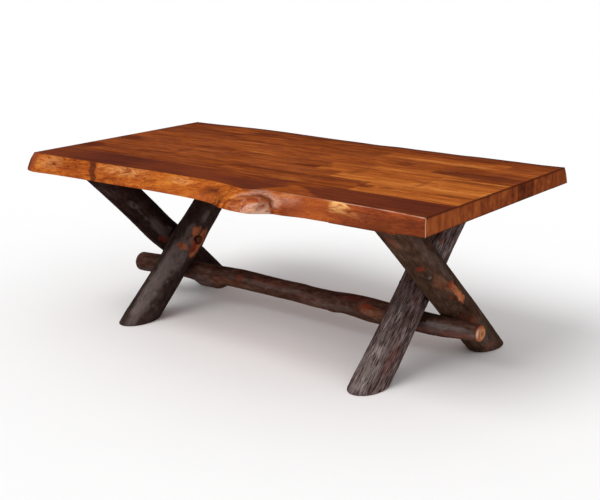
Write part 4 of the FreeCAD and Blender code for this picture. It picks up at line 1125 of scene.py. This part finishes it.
def stretcher_object(bark, end_grain):
    """Model the crooked stretcher log: notched at its seats, with rounded-over tips."""
    low, high = STRETCHER_BOX[0][0], STRETCHER_BOX[1][0]
    fine = [(leg_x(side, -1), RECESS_REACH, RECESS_STEP) for side in SIGNS]
    xs = stations(low, high, STRETCHER_STEP, fine)
    rounding = np.array([0.0, 0.08, 0.25, 0.5, 0.75]) * STRETCHER_ROUND
    inner = xs[(xs > low + STRETCHER_ROUND) & (xs < high - STRETCHER_ROUND)]
    xs = np.concatenate([low + rounding, inner, high - rounding[::-1]])
    from_end = np.minimum(np.minimum(xs - low, high - xs), STRETCHER_ROUND)
    easing = STRETCHER_ROUND - np.sqrt(STRETCHER_ROUND**2 - (STRETCHER_ROUND - from_end) ** 2)
    heights, middles, radii = [curve(STRETCHER_ROUTE, xs, column) for column in (1, 2, 3)]

    def around(data):
        """Repeat each station's value for all the points round it."""
        return np.repeat(data, STRETCHER_AROUND)

    # The angle is measured from the front (-Y) upward, seen from the right end
    angle = np.tile(np.linspace(0, 2 * math.pi, STRETCHER_AROUND, endpoint=False), len(xs))
    towards = np.stack([np.zeros(len(angle)), -np.cos(angle), np.sin(angle)], axis=1)
    degrees = np.degrees(angle)
    x, radius = around(xs), around(radii)
    places = np.stack([radius * np.cos(angle), radius * np.sin(angle), x], axis=1)
    height, relief, streak = bark_relief(places, STRETCHER["furrow"], STRETCHER["seed"])
    height = 0.8 * height
    for place, turn, half_length, half_width, rise in STRETCHER["lumps"]:
        height += rise * bump_at(arc(degrees, turn, STRETCHER_RADIUS), x - place, half_width, half_length)
    lump = smooth_step(x, LUMP_ALONG[0], LUMP_ALONG[1]) * smooth_step(-x, -LUMP_ALONG[3], -LUMP_ALONG[2])
    under = arc(degrees, LUMP_TURN, STRETCHER_RADIUS)
    height += LUMP_HEIGHT * lump * smooth_step(-np.abs(under), -34, -8)
    ragged = 0.9 * layered_noise(places, (8, 8, 20), STRETCHER["seed"] + 6, 4, 0.65)
    marks, bumps = log_marks(x, degrees, STRETCHER_RADIUS, STRETCHER, ragged, 0.25)
    radius = radius + height + bumps - around(easing)
    points = np.stack([x, around(middles), around(heights)], axis=1) + radius[:, None] * towards

    cut = np.zeros(len(x), bool)
    for side in SIGNS:
        _, seat_distance = stretcher_seat(side)
        for lean in (1, -1):
            _, across_axis = leg_axes(lean)
            local = (points - (leg_x(side, lean), BASE_Y, CROSSING_HEIGHT)) @ across_axis
            excess = np.maximum(lean * local + seat_distance, 0)
            notched = (np.abs(x - leg_x(side, lean)) < LEG_RADIUS) & (excess > 0)
            points -= np.where(notched, lean * excess, 0)[:, None] * across_axis
            cut |= notched
        _, drive = leg_axes(-1)
        base = np.array([leg_x(side, -1), BASE_Y, STRETCHER_HEIGHTS[side]])
        points, inside = drill(points, base, drive, RECESS_RADIUS, STRETCHER_RADIUS - RECESS_DEPTH, 0.7)
        cut |= inside
    rings = points.reshape(-1, STRETCHER_AROUND, 3)
    rings = with_caps(rings, [shrunk(rings[row], STRETCHER_CAP_SHARES) for row in (0, -1)])

    # The tips are worn, and the right one has a pale highlight painted on its shoulder
    tip = around(np.clip(1.3 - from_end / (0.7 * STRETCHER_ROUND), 0, 1))
    marks["peel"] = np.maximum(marks["peel"], tip * (x > 0))
    marks["red"] = np.maximum(marks["red"], 0.6 * ridge(x, high - STRETCHER_ROUND, 3))
    # A pale highlight painted on the front of the right tip's shoulder
    shoulder = around(smooth_step(from_end, 0.5, 2) * smooth_step(-from_end, -6.5, -4))
    marks["shoulder_highlight"] = 0.9 * shoulder * ridge(wrap_degrees(degrees), 14, 34) * (x > 0)
    marks |= {"relief": relief, "streak": 0.5 * streak, "cut": cut.astype(float)}
    caps = len(STRETCHER_CAP_SHARES)
    centres = np.pad(np.stack([xs, middles, heights], axis=1), ((caps, caps), (0, 0)), "edge")
    local = rings - centres[:, None]
    log_places = np.stack([local[:, :, 1], local[:, :, 2], rings[:, :, 0]], axis=2)
    add_log("stretcher", rings, STRETCHER_CAP_SHARES, marks, log_places, [bark, end_grain])


# Pieces that replace their nodes. A board's row gives its side, box, width, edge and seed, then the shift of
# its wood's figure, the tone of its sawn ends and the strength of the painted highlight down its right front
# corner.
BOARDS = {
    "front": (-1, FRONT_BOX, FRONT_BOARD_WIDTH, FRONT_EDGE, 71, (2.1, 4.7, 1.3), 0.53, 0.85),
    "back": (1, BACK_BOX, BACK_BOARD_WIDTH, BACK_EDGE, 83, (5.3, 1.9, 6.4), 0.42, 0.0),
}
for name, (side, box, width, edge, seed, shift, end_tone, corner_highlight) in BOARDS.items():
    made = board_object(f"{name}_live_edge", box, side, width, edge, seed)
    wood = make_board_wood(f"{name}_board_wood", shift, end_tone, corner_highlight)
    add_piece(made, f"{name}_live_edge_board", [wood])

# Darkest, middle and palest shade of each log's bark
BARKS = {
    # The left outer log's shades are darker than the others' partly as painted shade, for the top's shadow on
    # it
    "leg_left_outer": ((0.005, 0.003, 0.003), (0.024, 0.011, 0.009), (0.09, 0.055, 0.045)),
    "leg_left_inner": ((0.009, 0.005, 0.005), (0.045, 0.028, 0.024), (0.15, 0.11, 0.1)),
    "leg_right_outer": ((0.013, 0.006, 0.004), (0.068, 0.035, 0.022), (0.17, 0.1, 0.068)),
    "leg_right_inner": ((0.018, 0.009, 0.008), (0.115, 0.072, 0.066), (0.24, 0.18, 0.172)),
    "stretcher": ((0.018, 0.008, 0.005), (0.08, 0.036, 0.025), (0.21, 0.125, 0.095)),
}
end_grain = make_end_grain()
for name, facts in LEGS.items():
    leg_object(name, facts, make_bark(name + "_bark", BARKS[name], facts["furrow"]), end_grain)
stretcher_bark = make_bark("stretcher_bark", BARKS["stretcher"], STRETCHER["furrow"])
stretcher_object(stretcher_bark, end_grain)

# Finishes of the nodes that stay
cleat_wood = make_cleat_wood()
screw_steel = make_screw_steel()
stave_woods = {name: make_stave_wood(name, index) for index, name in enumerate(STAVES, start=1)}
for name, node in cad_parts.items():
    if name.startswith("top_stave_"):
        finish = stave_woods[name.removeprefix("top_stave_")]
    elif name in ("cleat_left", "cleat_right"):
        finish = cleat_wood
    elif name.endswith(("screws", "washers")):
        finish = screw_steel
    else:
        continue
    node.data.materials.clear()
    node.data.materials.append(finish)


# Stage, light and camera. The floor's sizes are in metres, and it lies just under the feet.
FLOOR_HALF = 60
FLOOR_DROP = 0.0005
FLOOR_STOPS = ((0.0, (0.95, 0.95, 0.95)), (1.0, (0.97, 0.97, 0.97)))
# Level of the room's light on the object, where the eye sees plain white
WORLD_LEVEL = 0.6
# Soft distant lights: level, softness in degrees and direction
SUNS = {"key": (1.6, 40, (0.25, 0.62, -0.85)), "fill": (0.3, 60, (-0.8, 0.35, -0.5))}


def seen_by_eye(tree):
    """Give 1 on rays that come straight from the camera or by a reflection, and 0 on others."""
    path = tree.nodes.new("ShaderNodeLightPath")
    total = path.outputs["Is Camera Ray"]
    for name in ("Is Glossy Ray", "Is Transmission Ray"):
        largest = tree.nodes.new("ShaderNodeMath")
        largest.operation = "MAXIMUM"
        tree.links.new(total, largest.inputs[0])
        tree.links.new(path.outputs[name], largest.inputs[1])
        total = largest.outputs[0]
    return total


def make_world():
    """Light the room evenly, and show white behind the object."""
    world = bpy.data.worlds.new("studio")
    bpy.context.scene.world = world
    world.use_nodes = True
    tree = world.node_tree
    background = tree.nodes["Background"]
    background.inputs["Color"].default_value = (1, 1, 1, 1)
    level = tree.nodes.new("ShaderNodeMapRange")
    level.inputs["To Min"].default_value = WORLD_LEVEL
    level.inputs["To Max"].default_value = 1
    tree.links.new(seen_by_eye(tree), level.inputs["Value"])
    tree.links.new(level.outputs["Result"], background.inputs["Strength"])


def make_floor():
    """Lay a plain pale floor that takes the object's shadow."""
    mesh = bpy.data.meshes.new("floor")
    corners = [(-1, -1), (1, -1), (1, 1), (-1, 1)]
    mesh.from_pydata([(x * FLOOR_HALF, y * FLOOR_HALF, -FLOOR_DROP) for x, y in corners], [], [(0, 1, 2, 3)])
    floor = bpy.data.objects.new("floor", mesh)
    bpy.context.scene.collection.objects.link(floor)
    graph = Graph("floor_white")
    speckle = graph.noise(graph.places(), (300, 300, 300), detail=2)
    graph.feed(graph.shader.inputs["Base Color"], graph.ramp(speckle, FLOOR_STOPS))
    graph.shader.inputs["Roughness"].default_value = 0.9
    graph.shader.inputs["Specular IOR Level"].default_value = 0
    mesh.materials.append(graph.material)


def make_sun(name, level, softness, towards):
    """Add a soft distant light that shines along a direction."""
    data = bpy.data.lights.new(name, "SUN")
    data.energy = level
    data.angle = math.radians(softness)
    sun = bpy.data.objects.new(name, data)
    sun.rotation_mode = "QUATERNION"
    sun.rotation_quaternion = Vector(towards).to_track_quat("-Z", "Y")
    bpy.context.scene.collection.objects.link(sun)


# The camera stands where the photograph was taken, in metres, and is turned, tipped down and rolled a
# little, in radians
CAMERA_PLACE = (1.66608, -1.94552, 0.939)
CAMERA_TURN = 0.69
CAMERA_TIP = 0.275
CAMERA_ROLL = -0.018
CAMERA_FOCAL_PIXELS = 1054.675
PHOTO_WIDTH_PIXELS = 600
SENSOR_WIDTH = 36
CLIP_END = 200


def make_camera():
    """Set up the camera at the photograph's angle."""
    data = bpy.data.cameras.new("camera")
    data.sensor_width = SENSOR_WIDTH
    data.lens = SENSOR_WIDTH * CAMERA_FOCAL_PIXELS / PHOTO_WIDTH_PIXELS
    data.clip_end = CLIP_END
    camera = bpy.data.objects.new("camera", data)
    camera.matrix_world = (
        Matrix.Translation(CAMERA_PLACE)
        @ Matrix.Rotation(CAMERA_TURN, 4, "Z")
        @ Matrix.Rotation(math.pi / 2 - CAMERA_TIP, 4, "X")
        @ Matrix.Rotation(CAMERA_ROLL, 4, "Z")
    )
    bpy.context.scene.collection.objects.link(camera)
    bpy.context.scene.camera = camera


make_world()
make_floor()
for name, (level, softness, towards) in SUNS.items():
    make_sun(name, level, softness, towards)
make_camera()
bpy.context.scene.view_settings.view_transform = "Standard"
